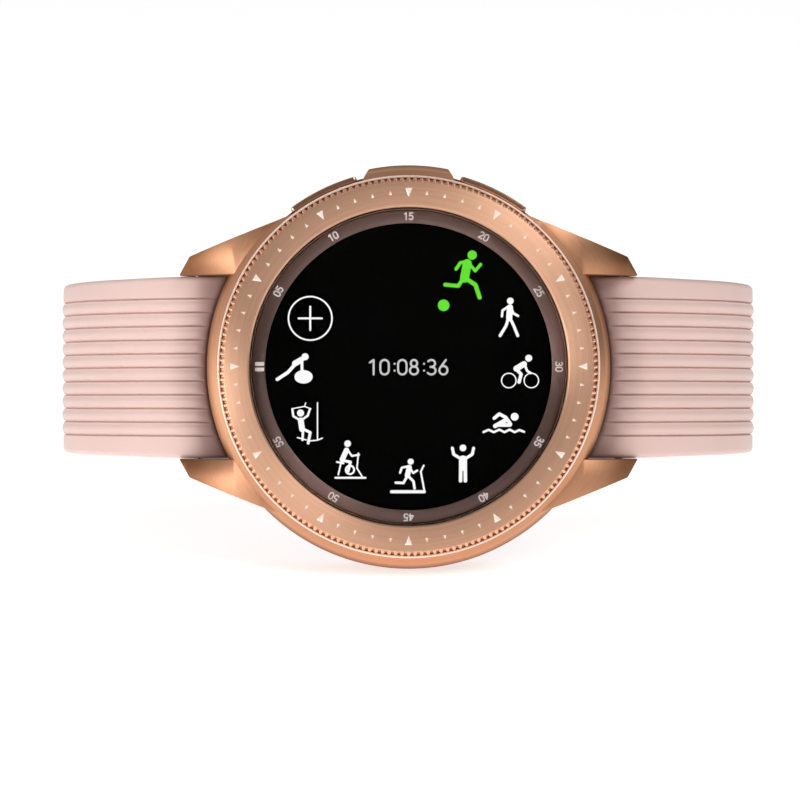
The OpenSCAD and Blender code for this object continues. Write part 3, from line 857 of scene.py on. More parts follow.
    def build_rim(self, palette: Palette) -> None:
        """Builds the lip round the bezel, pale with a painted highlight, and a thin black ring of painted shade
        under the knurl.
        """
        wide = self.lip_w
        lip = [(self.rim_r + wide * math.cos(a) + wide * 1.1, self.rim_z - 0.02 + wide * math.sin(a))
               for a in (math.pi * k / 8 for k in range(9))]
        # The lip takes the pale mark colour instead of the case metal: a painted highlight along its rounded edge
        ring = make_object("case_lip", lathe([*lip, (self.rim_r + 0.01, self.rim_z - 0.3)], self.steps), 60.0)
        install(ring, "case", "rose_gold_case", palette.marks)
        # A thin black ring on the deck under the bezel: painted shade in the gaps between the knurl's teeth
        low, high, outer = self.deck_z - 0.01, self.deck_z + 0.04, self.rim_r - 0.01
        gap = lathe([(19.3, low), (outer, low), (outer, high), (19.3, high)], self.steps)
        install(make_object("bezel_seal", gap), "case", "display_black", palette.black)

    def build_cover(self, palette: Palette) -> None:
        """Builds the back cover with its screw holes, and its window."""
        corners = [(10.15, 0.7), (19.8, 0.7), (19.8, 2.1), (16.8, 2.1), (16.8, 3.1), (15.2, 3.1),
                   (15.2, 2.1), (10.15, 2.1)]
        cover = make_object("cover_shell", lathe(round_corners(corners, [0.1, 0.35, 0, 0, 0, 0, 0, 0], 5), 192))
        for i in range(4):
            turn = TAU / 8 + i * TAU / 4
            x, y = self.screw_circle_r * math.cos(turn), self.screw_circle_r * math.sin(turn)
            combine(cover, rod((x, y, -1.0), (x, y, 1.35), 0.9), Join.CUT)
            combine(cover, rod((x, y, 1.0), (x, y, 3.0), 0.55), Join.CUT)
        combine(cover, lathe([(14.05, 0.0), (14.35, 0.0), (14.35, 0.82), (14.05, 0.82)], 192), Join.CUT)
        shade(cover, 30.0)
        install(cover, "case", "cover_plastic", palette.cover, "back_cover")
        dome = round_corners([(0.0, 0.0), (9.6, 0.0), (10.1, 0.4), (10.1, 1.35), (11.5, 1.35), (11.5, 2.0),
                              (0.0, 2.0)], [0, 0.5, 0.3, 0, 0, 0, 0], 5)
        window = make_object("sensor_glass", lathe([(max(r, AXIS_R), z) for r, z in dome], 160))
        install(window, "case", "sensor_glass", palette.sensor, "sensor_window")
        install(make_object("sensor_eyes", self.eyes()), "case", "steel", palette.steel)

    def eyes(self) -> Draft:
        """The sensor's six windows, the one in the middle and the ring round them."""
        low, high = self.print_z
        eyes = Draft()
        for i in range(6):
            turn = TAU * i / 6
            out = Vector((math.cos(turn), math.sin(turn)))
            cross = Vector((-out.y, out.x))
            box = [out * (self.eye_circle_r + a) + cross * b
                   for a, b in ((-0.7, -1.0), (0.7, -1.0), (0.7, 1.0), (-0.7, 1.0))]
            eyes.prism(round_corners([tuple(p) for p in box], 0.25, 4), low, high)
        eyes.prism(arc(0.9, 0, 345, 23), low, high)
        return eyes.merge(lathe([(6.35, low), (6.6, low), (6.6, high), (6.35, high)], 96))


# ---------------------------------------------------------------- bezel and display


def minute_angle(minute: int) -> float:
    """The angle of a minute on the dial, in radians: 12 o'clock is towards -x."""
    return math.radians(180 - 6 * minute)


@dataclass
class Bezel:
    """The turning bezel with its knurl and its minute marks."""

    outer_r: float = 20.24
    flat_r: float = 19.8
    opening_r: float = 17.08
    bore_r: float = 18.33
    low_z: float = 10.6
    top_z: float = 12.7
    lip_z: float = 12.07
    teeth: int = 180
    tooth_depth: float = 0.36
    columns: int = 8
    edge: float = 0.16
    inlay: float = 0.012
    large_mark: Point3 = (18.05, 19.12, 0.4)
    small_mark: Point3 = (18.95, 18.42, 0.19)

    def knurl(self, r: float, z: float, angle: float) -> float:
        """Pulls the rim in between the teeth."""
        if r < self.flat_r + 0.02 or z < self.low_z + 0.25:
            return r
        phase = (angle * self.teeth / TAU) % 1.0
        gap = max(0.0, 1 - abs(phase - 0.5) / 0.3)
        return r - min(1.0, 1.6 * gap) * min(self.tooth_depth, r - self.flat_r + 0.02)

    def build(self, palette: Palette) -> None:
        """Builds the bezel and its marks and dresses them."""
        corners = [(self.bore_r, self.low_z), (self.outer_r, self.low_z), (self.outer_r, self.low_z + 0.3),
                   (self.outer_r, self.top_z - 2 * self.edge), (self.flat_r, self.top_z),
                   (self.opening_r + self.edge, self.top_z), (self.opening_r, self.top_z - self.edge),
                   (self.opening_r, self.lip_z), (self.bore_r, self.lip_z)]
        radii = [0, 0.05, 0, 0.12, 0.05, 0.03, 0.03, 0, 0]
        turned = lathe(round_corners(corners, radii, 3), self.teeth * self.columns, self.knurl)
        ring = make_object("bezel_ring", turned, 28.0)
        install(ring, "bezel", "rose_gold_bezel", palette.bezel, "bezel")
        marks = Draft()
        for minute in range(60):
            marks.merge(self.mark(minute % 5 == 0, minute_angle(minute)))
        install(make_object("bezel_marks", marks), "bezel", "rose_gold_polished", palette.marks)

    def mark(self, large: bool, turn: float) -> Draft:
        """One mark: a large triangle that points inward, or a small one that points outward."""
        tip, base, half = self.large_mark if large else self.small_mark
        out = Vector((math.cos(turn), math.sin(turn)))
        cross = Vector((-out.y, out.x))
        outline = [tuple(out * tip), tuple(out * base + cross * half), tuple(out * base - cross * half)]
        middle = sum((Vector(p) for p in outline), Vector((0.0, 0.0))) / 3
        draft = Draft()
        top = self.top_z + 2 * self.inlay
        points = [(x, y, self.top_z - self.inlay) for x, y in outline]
        inner = [(*(Vector(p).lerp(middle, 0.25)), top) for p in outline]
        draft.add(points + inner, [(0, 1, 4, 3), (1, 2, 5, 4), (2, 0, 3, 5), (3, 4, 5), (2, 1, 0)])
        return draft


class Stroke(Enum):
    """The shapes that the display's icons are drawn with."""

    LIMB = "limb"
    DISC = "disc"
    RING = "ring"


@dataclass(frozen=True)
class Icon:
    """One icon: its middle in the dial's millimetres and the strokes that it is drawn with."""

    name: str
    middle: Point2
    strokes: tuple[tuple, ...]
    green: bool = False


def limb(points: Sequence[Point2], width: float) -> tuple:
    """A stroke along points, with round joints and ends."""
    return (Stroke.LIMB, tuple(points), width)


def disc(x: float, y: float, r: float, r_y: float | None = None) -> tuple:
    """A filled circle or ellipse."""
    return (Stroke.DISC, (x, y), r, r_y or r)


def hoop(x: float, y: float, r: float, width: float) -> tuple:
    """A circle's line."""
    return (Stroke.RING, (x, y), r, width)


ICONS = (
    Icon("runner", (5.88, 9.80), (
        disc(0.95, 2.2, 0.5), limb([(0.42, 1.3), (0.12, -0.3)], 0.95),
        limb([(0.5, 1.5), (-0.32, 1.38), (-0.78, 0.7)], 0.36),
        limb([(0.7, 1.2), (1.28, 0.5), (1.86, 1.2)], 0.34),
        limb([(0.0, -0.3), (-0.55, -1.12), (-1.95, -0.98)], 0.42),
        limb([(0.25, -0.3), (1.3, -1.0), (1.75, -2.35)], 0.46)), True),
    Icon("walker", (10.81, 5.32), (
        disc(0.12, 1.75, 0.36), limb([(0.08, 1.05), (0.0, -0.1)], 0.66),
        limb([(-0.1, 1.15), (-0.72, 0.72), (-0.78, 0.1)], 0.26),
        limb([(0.2, 1.05), (0.45, 0.42), (0.95, 0.15)], 0.26),
        limb([(-0.08, -0.1), (-0.35, -0.95), (-0.98, -1.98)], 0.32),
        limb([(0.1, -0.1), (0.5, -0.95), (0.92, -1.98)], 0.32))),
    Icon("cyclist", (11.99, -0.56), (
        hoop(-1.22, -0.92, 0.78, 0.12), hoop(1.2, -0.92, 0.78, 0.12), disc(0.92, 1.48, 0.37),
        limb([(0.42, 0.85), (-0.42, 0.35)], 0.62), limb([(0.5, 0.75), (0.75, 0.12), (1.12, -0.12)], 0.26),
        limb([(-0.42, 0.3), (0.1, -0.25), (-0.12, -1.1)], 0.36))),
    Icon("swimmer", (10.2, -6.06), (
        disc(1.2, 0.68, 0.42), limb([(-1.0, 0.52), (-0.45, 0.98), (0.25, 0.6), (0.75, -0.1)], 0.36),
        limb([(-0.9, -0.32), (0.2, 0.3)], 0.46), limb([(-0.4, -0.2), (0.7, -0.2)], 0.4),
        limb([(-2.15, -0.96), (-1.6, -0.72), (-1.05, -0.98), (-0.45, -0.7), (0.1, -0.98), (0.65, -0.7),
              (1.2, -0.98),
              (1.7, -0.74), (2.2, -0.94)], 0.24))),
    Icon("press", (5.84, -10.37), (
        disc(0.0, 1.64, 0.36), limb([(0.0, 0.4), (0.0, -0.4)], 0.86),
        limb([(-0.3, 0.52), (-1.0, 0.95), (-1.14, 1.62)], 0.32),
        limb([(0.3, 0.52), (1.0, 0.95), (1.14, 1.62)], 0.32),
        limb([(-0.24, -0.4), (-0.26, -1.9)], 0.38), limb([(0.24, -0.4), (0.26, -1.9)], 0.38))),
    Icon("treadmill", (-0.06, -11.78), (
        disc(0.28, 1.58, 0.33), limb([(0.12, 0.95), (-0.08, 0.05)], 0.56),
        limb([(0.0, 1.08), (-0.68, 0.92), (-0.86, 0.38)], 0.24),
        limb([(0.2, 0.88), (0.55, 0.35), (0.98, 0.62)], 0.24),
        limb([(-0.1, 0.0), (-0.5, -0.72), (-1.32, -0.68)], 0.28),
        limb([(0.05, 0.0), (0.58, -0.55), (0.7, -1.3)], 0.28),
        limb([(-1.78, -1.66), (1.74, -1.66)], 0.34), limb([(1.74, -1.5), (1.36, 0.5), (1.68, 1.16)], 0.2))),
    Icon("bike", (-6.26, -10.09), (
        disc(-0.3, 1.82, 0.36), limb([(-0.42, 1.12), (-0.88, 0.1)], 0.56),
        limb([(-0.3, 1.15), (0.15, 0.5), (0.92, 0.62)], 0.22),
        limb([(-0.8, 0.0), (0.0, -0.15), (-0.25, -1.15)], 0.3),
        limb([(-1.45, -0.15), (-0.75, -0.3)], 0.2), limb([(-1.05, -0.4), (-1.3, -1.5)], 0.18),
        hoop(-0.05, -1.0, 0.45, 0.2), limb([(0.86, 0.8), (0.7, -0.8), (1.25, -1.7)], 0.16),
        limb([(-1.62, -1.85), (1.62, -1.85)], 0.22))),
    Icon("pull", (-11.0, -6.12), (
        disc(-0.62, 1.14, 0.38), limb([(-0.6, 0.35), (-0.45, -0.6)], 0.62),
        limb([(-0.72, 0.4), (-1.4, 0.8), (-1.5, 1.5)], 0.24),
        limb([(-0.5, 0.4), (0.15, 0.85), (0.36, 1.5)], 0.24),
        limb([(-1.55, 1.6), (-0.2, 1.85), (0.5, 1.6)], 0.12), limb([(-0.2, 1.85), (-0.06, 2.25)], 0.12),
        limb([(-0.3, -0.6), (0.42, -0.95), (0.2, -2.1)], 0.3), limb([(-0.35, -0.7), (-0.42, -1.75)], 0.26),
        limb([(-0.95, -1.5), (0.0, -1.75)], 0.14), limb([(1.2, 2.25), (1.2, -1.75)], 0.14),
        limb([(0.4, -1.85), (1.2, -1.78), (1.72, -1.55)], 0.14))),
    Icon("ball", (-12.28, -0.21), (
        disc(1.15, 1.28, 0.38), limb([(0.72, 0.95), (0.05, 0.55)], 0.62),
        limb([(0.8, 0.8), (0.82, -0.35)], 0.3),
        limb([(0.1, 0.5), (-0.7, -0.4), (-1.85, -1.15)], 0.36), disc(0.98, -0.88, 0.98, 0.72))),
    Icon("add", (-10.58, 5.20), (
        hoop(0.0, 0.0, 2.34, 0.17), limb([(-1.25, 0.0), (1.25, 0.0)], 0.21),
        limb([(0.0, -1.25), (0.0, 1.25)], 0.21))),
)
GREEN_DOT = Icon("dot", (3.76, 6.60), (disc(0.0, 0.0, 0.62),), True)


@dataclass
class Display:
    """The glass, the numeral ring and the lit display under it."""

    glass_r: float = 17.45
    glass_low_z: float = 11.05
    glass_top_z: float = 11.93
    panel_r: float = 16.75
    panel_z: float = 10.45
    ring_in_r: float = 15.42
    ring_out_r: float = 16.8
    ring_z: float = 10.95
    panel_low_z: float = 9.7
    film: float = 0.012
    clock_y: float = -0.05
    numeral_r: float = 16.16
    numeral_h: float = 0.86
    time_h: float = 1.78

    def build(self, palette: Palette) -> None:
        """Builds the display's pieces and dresses them."""
        pane = round_corners(
            [(AXIS_R, self.glass_low_z), (self.glass_r, self.glass_low_z), (self.glass_r, self.glass_top_z),
             (AXIS_R, self.glass_top_z)], [0, 0.05, 0.2, 0], 5)
        install(make_object("glass_pane", lathe(pane, 192)), "case", "display_glass", palette.glass,
                "display_glass")
        panel = round_corners(
            [(AXIS_R, self.panel_low_z), (self.panel_r, self.panel_low_z), (self.panel_r, self.panel_z),
             (AXIS_R, self.panel_z)], [0, 0.05, 0.05, 0], 3)
        install(make_object("panel_disc", lathe(panel, 160)), "case", "display_black", palette.black,
                "display_panel")
        band = round_corners(
            [(self.ring_in_r, self.panel_z), (self.ring_out_r, self.panel_z), (self.ring_out_r, self.ring_z),
             (self.ring_in_r, self.ring_z)], [0, 0, 0.03, 0.03], 3)
        install(make_object("numeral_band", lathe(band, 240)), "case", "ring_print", palette.ring, "dial_ring")
        self.build_numerals(palette)
        self.build_icons(palette)

    def build_numerals(self, palette: Palette) -> None:
        """Sets the minute numerals round the ring and the twin bars at 12 o'clock."""
        numerals = Draft()
        for minute in range(5, 60, 5):
            turn = minute_angle(minute)
            label = letters(f"{minute:02d}", self.numeral_h, 0.17)
            spin = turn - math.pi / 2
            cos, sin = math.cos(spin), math.sin(spin)
            cx, cy = self.numeral_r * math.cos(turn), self.numeral_r * math.sin(turn)
            numerals.merge(label.moved(lambda p: (
                cx + p[0] * cos - p[1] * sin, cy + p[0] * sin + p[1] * cos, self.ring_z + p[2])))
        for side in (-1, 1):
            bar = round_corners([(-16.5, side * 0.3 - 0.2), (-15.52, side * 0.3 - 0.2),
                                 (-15.52, side * 0.3 + 0.2), (-16.5, side * 0.3 + 0.2)], 0.1, 3)
            numerals.prism(bar, self.ring_z, self.ring_z + self.film)
        install(make_object("ring_numerals", numerals), "case", "ring_print", palette.numerals)

    def build_icons(self, palette: Palette) -> None:
        """Draws the lit icons and the time."""
        for icon in (*ICONS, GREEN_DOT):
            draft = Draft()
            for stroke in icon.strokes:
                draft.merge(self.stroke(stroke, icon.middle))
            piece = make_object(f"icon_{icon.name}", draft)
            install(piece, "case", "display_black", palette.green if icon.green else palette.white)
        clock = letters("10:08:36", self.time_h, 0.12).moved(
            lambda p: (p[0], p[1] + self.clock_y, self.panel_z + p[2]))
        install(make_object("lit_time", clock), "case", "display_black", palette.grey)

    def stroke(self, stroke: tuple, middle: Point2) -> Draft:
        """The mesh of one stroke, laid on the display."""
        kind, x0, y0 = stroke[0], middle[0], middle[1]
        low, high = self.panel_z + 0.002, self.panel_z + self.film
        if kind is Stroke.DISC:
            (x, y), r, r_y = stroke[1:]
            outline = [(x0 + x + a, y0 + y + b) for a, b in oval(r, r_y, 1, 40)]
            return Draft().prism(outline, low, high)
        if kind is Stroke.RING:
            (x, y), r, width = stroke[1:]
            inner, outer = r - width / 2, r + width / 2
            ring = lathe([(inner, low), (outer, low), (outer, high), (inner, high)], 64)
            return ring.moved(lambda p: (p[0] + x0 + x, p[1] + y0 + y, p[2]))
        points, width = stroke[1:]
        return limb_mesh([(x0 + x, y0 + y) for x, y in points], width, low, high - low)


def curve_points(middle: Point2, radius: Point2, start: float, end: float, steps: int = 10) -> list[Point2]:
    """Points of an oval arc between two angles in degrees."""
    angles = [math.radians(start + (end - start) * i / steps) for i in range(steps + 1)]
    return [(middle[0] + radius[0] * math.cos(a), middle[1] + radius[1] * math.sin(a)) for a in angles]


DIGITS: dict[str, tuple[list[Point2], ...]] = {
    "0": ([*curve_points((0.29, 0.7), (0.29, 0.3), 0, 180), *curve_points((0.29, 0.3), (0.29, 0.3), 180, 360),
           (0.58, 0.7)],),
    "1": ([(0.1, 0.82), (0.36, 1.0), (0.36, 0.0)],),
    "2": ([*curve_points((0.28, 0.73), (0.27, 0.27), 160, -30), (0.0, 0.0), (0.58, 0.0)],),
    "3": ([*curve_points((0.26, 0.76), (0.26, 0.24), 145, -90), (0.2, 0.52)],
          [(0.2, 0.52), *curve_points((0.26, 0.26), (0.3, 0.26), 90, -145)]),
    "4": ([(0.44, 0.0), (0.44, 1.0), (0.0, 0.28), (0.6, 0.28)],),
    "5": ([(0.54, 1.0), (0.1, 1.0), (0.06, 0.55), *curve_points((0.25, 0.31), (0.3, 0.31), 110, -140)],),
    "6": ([(0.46, 1.0), (0.06, 0.45), *curve_points((0.29, 0.29), (0.28, 0.29), 150, 510, 20)],),
    "8": (curve_points((0.29, 0.77), (0.22, 0.23), 0, 360, 20),
          curve_points((0.29, 0.27), (0.28, 0.27), 0, 360, 20)),
    ":": ([(0.1, 0.26), (0.1, 0.27)], [(0.1, 0.73), (0.1, 0.74)]),
}
DIGIT_STEP = {":": 0.42, "1": 0.82}
PLAIN_STEP = 0.8


def letters(text: str, height: float, weight: float) -> Draft:
    """Digits as a thin flat mesh about its middle.

    Args:
        text: the digits.
        height: the height of a digit, in millimetres.
        weight: the strokes' width, in digit heights.

    Returns:
        The mesh, in millimetres, standing a little over z 0.
    """
    draft, pen, inner = Draft(), 0.0, height * (1 - weight)
    for mark in text:
        shift = 0.08 if mark == ":" else 0.0
        for n, line in enumerate(DIGITS[mark]):
            points = [((pen + shift + x) * inner, (y - 0.5) * inner) for x, y in line]
            draft.merge(limb_mesh(points, weight * height, 0.002 + 0.0002 * n, 0.012))
        pen += DIGIT_STEP.get(mark, PLAIN_STEP)
    middle = (min(p[0] for p in draft.points) + max(p[0] for p in draft.points)) / 2
    return draft.moved(lambda p: (p[0] - middle, p[1], p[2]))


def limb_mesh(points: Sequence[Point2], width: float, low: float, thick: float) -> Draft:
    """A flat stroke along points, with round joints and ends.

    Args:
        points: the points of its middle line.
        width: its width.
        low: the height of its underside.
        thick: its thickness.

    Returns:
        The mesh.
    """
    draft = Draft()
    for i, (a, b) in enumerate(zip(points, points[1:])):
        lift = 0.0003 * i
        along = Vector(b) - Vector(a)
        heading = math.atan2(along.y, along.x)
        outline: list[Point2] = []
        for end, start_angle in ((b, heading - math.pi / 2), (a, heading + math.pi / 2)):
            outline.extend((end[0] + width / 2 * math.cos(start_angle + math.pi * k / 10),
                            end[1] + width / 2 * math.sin(start_angle + math.pi * k / 10)) for k in range(11))
        draft.prism(outline, low + lift, low + thick + lift)
    return draft


# ---------------------------------------------------------------- keys


@dataclass
class SideKey:
    """One of the two side keys, a curved bar on a round post."""

    side: int
    name: str
    outer_r: float = 21.45
    thickness: float = 0.7
    height: float = 2.5
    span: float = 21.4
    end_span: float = 0.9
    edge: float = 0.2
    post_r: float = 0.7
    post_inner: float = 16.6

    def build(self, palette: Palette) -> None:
        """Builds the key and dresses it."""
        half_t, half_h = self.thickness / 2, self.height / 2
        middle_r = self.outer_r - half_t
        loops = []
        stations = [(0.0, 1.0), (0.12, 0.5), (0.45, 0.12), (self.end_span, 0.0)]
        ends = [(-self.span / 2 + a, inset) for a, inset in stations]
        plain = self.span - 2 * self.end_span
        inner = [(-plain / 2 + i * plain / 24, 0.0) for i in range(1, 24)]
        for degrees, inset in ends + inner + [(-a, i) for a, i in reversed(ends)]:
            shrink = self.edge * inset
            wide, tall = half_t - shrink, half_h - shrink
            corners = [(middle_r - wide, -tall), (middle_r + wide, -tall), (middle_r + wide, tall),
                       (middle_r - wide, tall)]
            turn = math.radians(90 - self.side * KEY_ANGLE + degrees)
            section = round_corners(corners, self.edge, 3)
            loops.append([(r * math.cos(turn), r * math.sin(turn), KEY_Z + z) for r, z in section])
        key = make_object(f"{self.name}_bar", Draft().skin(loops))
        combine(key, key_rod(self.side, self.post_inner, middle_r, self.post_r), Join.ADD)
        shade(key, 30.0)
        install(key, self.name, "rose_gold_polished", palette.polished, self.name)


# ---------------------------------------------------------------- strap


@dataclass(frozen=True)
class PathPoint:
    """A place on the strap's middle line: x and z, and the outward direction there."""

    x: float
    z: float
    out_x: float
    out_z: float

    def place(self, y: float, height: float) -> Point3:
        """The place of a section's point."""
        return (self.x + self.out_x * height, y, self.z + self.out_z * height)


@dataclass
class StrapHalf:
    """The path, the cross-section and the mesh of one strap half, drawn on the +x side."""

    bar: Vector
    lug_gap: float = 20.0
    clearance: float = 0.15
    reach_x: float = 38.6
    thickness: float = 2.4
    taper: float = 0.028
    head_start: float = 20.0
    turns: tuple[Point2, ...] = ()
    straight: float = 0.0
    rib_count: int = 10
    rib_pitch: float = 1.5
    crown: float = 0.22
    groove: float = 0.34
    groove_w: float = 0.14
    margin: float = 0.12
    under_r: float = 0.35
    join_u: float = 1.6
    step: float = 0.8
    case_r: float = 22.02
    root_flare: float = 0.09
    flare_end: float = 5.0

    def half_width(self, z: float) -> float:
        """Half the strap's width at a height."""
        flare = self.root_flare * ease((z - self.bar.z + self.flare_end) / self.flare_end)
        return self.lug_gap / 2 - self.clearance + flare - self.taper / 2 * (self.bar.z - z)

    def segments(self) -> list[Point2]:
        """The path's arcs as (radius, degrees turned)."""
        first = (self.reach_x - self.bar.x) / (1 - math.sin(math.radians(self.head_start)))
        return [(first, 90 - self.head_start), *self.turns]

    def length(self) -> float:
        """The path's length from the bar to its end."""
        return sum(r * math.radians(a) for r, a in self.segments()) + self.straight

    def at(self, u: float) -> PathPoint:
        """The path at a distance from the bar, behind it when negative."""
        if u < 0:
            return PathPoint(self.bar.x + u, self.bar.z, 0.0, 1.0)
        x, z, head, left = self.bar.x, self.bar.z, math.radians(self.head_start), u
        for radius, degrees in self.segments():
            turned = min(left / radius, math.radians(degrees))
            cx, cz = x - radius * math.sin(head), z - radius * math.cos(head)
            head += turned
            x, z = cx + radius * math.sin(head), cz + radius * math.cos(head)
            left -= radius * turned
            if left <= 1e-9:
                break
        x, z = x + left * math.cos(head), z - left * math.sin(head)
        return PathPoint(x, z, math.sin(head), math.cos(head))

    def rib_height(self, y: float) -> float:
        """The surface's height over the plain strap at a distance from the middle line, in rib units."""
        half = self.rib_count * self.rib_pitch / 2
        if abs(y) >= half + self.margin:
            return 0.0
        if abs(y) > half:
            return -self.groove * (1 - (abs(y) - half) / self.margin)
        phase = (y + half) / self.rib_pitch % 1.0
        edge = min(phase, 1 - phase) * self.rib_pitch
        if edge < self.groove_w:
            return -self.groove * (1 - edge / self.groove_w) ** 1.4
        rise = (edge - self.groove_w) / (self.rib_pitch / 2 - self.groove_w)
        return self.crown * (1 - (1 - rise) ** 2) - self.crown * 0.4

    def columns(self) -> list[float]:
        """The distances from the middle line at which the top surface has points, ribs first."""
        half = self.rib_count * self.rib_pitch / 2
        shares = (0.0, 0.035, 0.09, 0.16, 0.27, 0.4, 0.5, 0.6, 0.73, 0.84, 0.91, 0.965)
        ys = [-half + (i + s) * self.rib_pitch for i in range(self.rib_count) for s in shares]
        return [-half - self.margin, *ys, half, half + self.margin]

    def section(self, half: float, thick: float, ribs: float) -> list[Point2]:
        """The cross-section as (y, height) points.

        Args:
            half: half the strap's width here.
            thick: the thickness here.
            ribs: how much of the ribs shows, from 0 to 1.

        Returns:
            The closed outline, from the left edge over the top.
        """
        corner = min(0.55, thick * 0.35)
        shrink = min(1.0, (half - 0.9) / (self.rib_count * self.rib_pitch / 2 + self.margin))
        top = [(y * shrink, thick / 2 + ribs * self.rib_height(y)) for y in self.columns()]
        bottom = [(half * s, -thick / 2) for s in (0.6, 0.3, 0.0, -0.3, -0.6)]

        def turn(side: int, up: int, radius: float, start: float, step: float, count: int) -> list[Point2]:
            """The points of one rounded corner."""
            angles = [start + k * step for k in range(count)]
            y, height = side * (half - radius), up * (thick / 2 - radius)
            return [(y + radius * math.cos(a), height + radius * math.sin(a)) for a in angles]

        return [*turn(-1, 1, corner, math.pi, -math.pi / 8, 5), *top,
                *turn(1, 1, corner, math.pi / 2, -math.pi / 8, 5),
                *turn(1, -1, self.under_r, 0.0, -math.pi / 6, 4), *bottom,
                *turn(-1, -1, self.under_r, -math.pi / 2, -math.pi / 6, 4)]

    def root_loops(self) -> list[list[Point3]]:
        """The loops from the end that follows the round case to just past the bar."""
        loops = []
        half = self.half_width(self.bar.z)
        for share in (0.0, 0.03, 0.09, 0.18, 0.3, 0.45, 0.6, 0.75, 0.9):
            nose = math.sqrt(max(0.0, 1 - (1 - min(1.0, share / 0.18)) ** 2))
            loop = []
            for y, height in self.section(half, self.thickness, min(1.0, share * 1.6)):
                start_u = math.sqrt(self.case_r**2 - min(abs(y), half) ** 2) - self.bar.x
                u = start_u + (self.join_u - start_u) * share
                swell = 1.24 if u > -0.2 else 1.24 - 0.14 * (-0.2 - u)
                plain = max(0.0, min(1.0, (u + 0.2) / 1.8))
                scale = (swell * (1 - plain) + plain) * (0.45 + 0.55 * nose)
                here, lean = self.at(u), self.at(max(u, 0.0))
                tilt = max(0.0, min(1.0, (u + 1.0) / 2.6))
                point = PathPoint(here.x, here.z, lean.out_x * tilt, 1 - (1 - lean.out_z) * tilt)
                loop.append(point.place(y, height * scale))
            loops.append(loop)
        return loops

    def body_loops(self, start: float, end: float, ribs_at: Callable[[float], float],
                   half_at: Callable[[float], float],
                   thick_at: Callable[[float], float]) -> list[list[Point3]]:
        """The loops along the path between two distances from the bar.

        Args:
            start: the first distance.
            end: the last distance.
            ribs_at: gives how much of the ribs shows at a distance.
            half_at: gives half the width.
            thick_at: gives the thickness.

        Returns:
            The loops, in order.
        """
        count = max(2, round((end - start) / self.step))
        loops = []
        for i in range(count + 1):
            u = start + (end - start) * i / count
            point = self.at(u)
            section = self.section(half_at(u), thick_at(u), ribs_at(u))
            loops.append([point.place(y, height) for y, height in section])
        return loops

    def knob_room(self) -> Draft:
        """The slot under the bar that the release knob slides in."""
        outline = round_corners([(self.bar.x - 0.65, -7.65), (self.bar.x + 0.65, -7.65),
                                 (self.bar.x + 0.65, -5.15), (self.bar.x - 0.65, -5.15)], 0.5, 5)
        return Draft().prism(outline, self.bar.z - 4.0, self.bar.z)


def ease(x: float) -> float:
    """A smooth step from 0 to 1."""
    x = max(0.0, min(1.0, x))
    return x * x * (3 - 2 * x)


def mirrored(draft: Draft) -> Draft:
    """The draft on the other side of the dial."""
    return draft.moved(lambda p: (-p[0], p[1], p[2]))


@dataclass
class TailStrap:
    """The 6 o'clock half, with its holes and its round tip."""

    slow: Point2 = (120.0, 19.2)
    fast: Point2 = (26.0, 110.8)
    holes: int = 8
    hole_pitch: float = 6.0
    hole_r: float = 1.15
    tip_angle: float = 50.0

    def build(self, palette: Palette) -> None:
        """Builds the strap half and dresses it."""
        half = StrapHalf(bar=joint_place("strap_6_swing"), turns=(self.slow, self.fast))
        end = half.length()
        tip_half = half.half_width(half.at(end - 9.0).z)

        def width(u: float) -> float:
            """Half the width, round at the tip."""
            plain = half.half_width(half.at(u).z)
            into = u - (end - tip_half)
            return plain if into <= 0 else math.sqrt(max(tip_half**2 - into**2, 0.0)) + 0.02

        def ribs(u: float) -> float:
            """The ribs, which fade out before the tip."""
            return 1.0 - ease((u - end + 21.0) / 5.0)

        def thick(u: float) -> float:
            """The thickness, which rounds off at the tip."""
            return half.thickness * (1 - 0.35 * ease((u - end + 3.0) / 3.0))

        loops = half.root_loops() + half.body_loops(half.join_u, end - tip_half, ribs, width, thick)
        for k in range(1, 17):
            u = end - tip_half + tip_half * math.sin(math.pi / 2 * k / 16) * 0.999
            section = half.section(max(width(u), 1.3), thick(u), 0.0)
            squeeze = width(u) / max(width(u), 1.3)
            point = half.at(u)
            loops.append([point.place(y * squeeze, h) for y, h in section])
        strap = make_object("tail_strap", Draft().skin(loops))
        self.pierce(strap, half, end)
        combine(strap, rod((half.bar.x, -11.0, half.bar.z), (half.bar.x, 11.0, half.bar.z), 0.8), Join.CUT)
        combine(strap, half.knob_room(), Join.CUT)
        shade(strap, 40.0)
        install(strap, "strap_6", "strap_rubber", palette.strap, "strap_tail_side")

    def pierce(self, strap: Piece, half: StrapHalf, end: float) -> None:
        """Cuts the holes, each with a small chamfer."""
        first = math.radians(self.tip_angle) * self.fast[0]
        for i in range(self.holes):
            here = half.at(end - first - i * self.hole_pitch)
            out = Vector((here.out_x, 0.0, here.out_z))
            middle = Vector((here.x, 0.0, here.z))
            turn = out.to_track_quat("Z", "Y")
            reach = half.thickness / 2
            stations = [(-reach - 1, self.hole_r + 1.2), (-reach + 0.12, self.hole_r),
                        (reach - 0.2, self.hole_r), (reach + 1, self.hole_r + 1.2)]
            loops = [[turned_point(middle, turn, r, TAU * k / 32, z) for k in range(32)] for z, r in stations]
            combine(strap, Draft().skin(loops), Join.CUT)


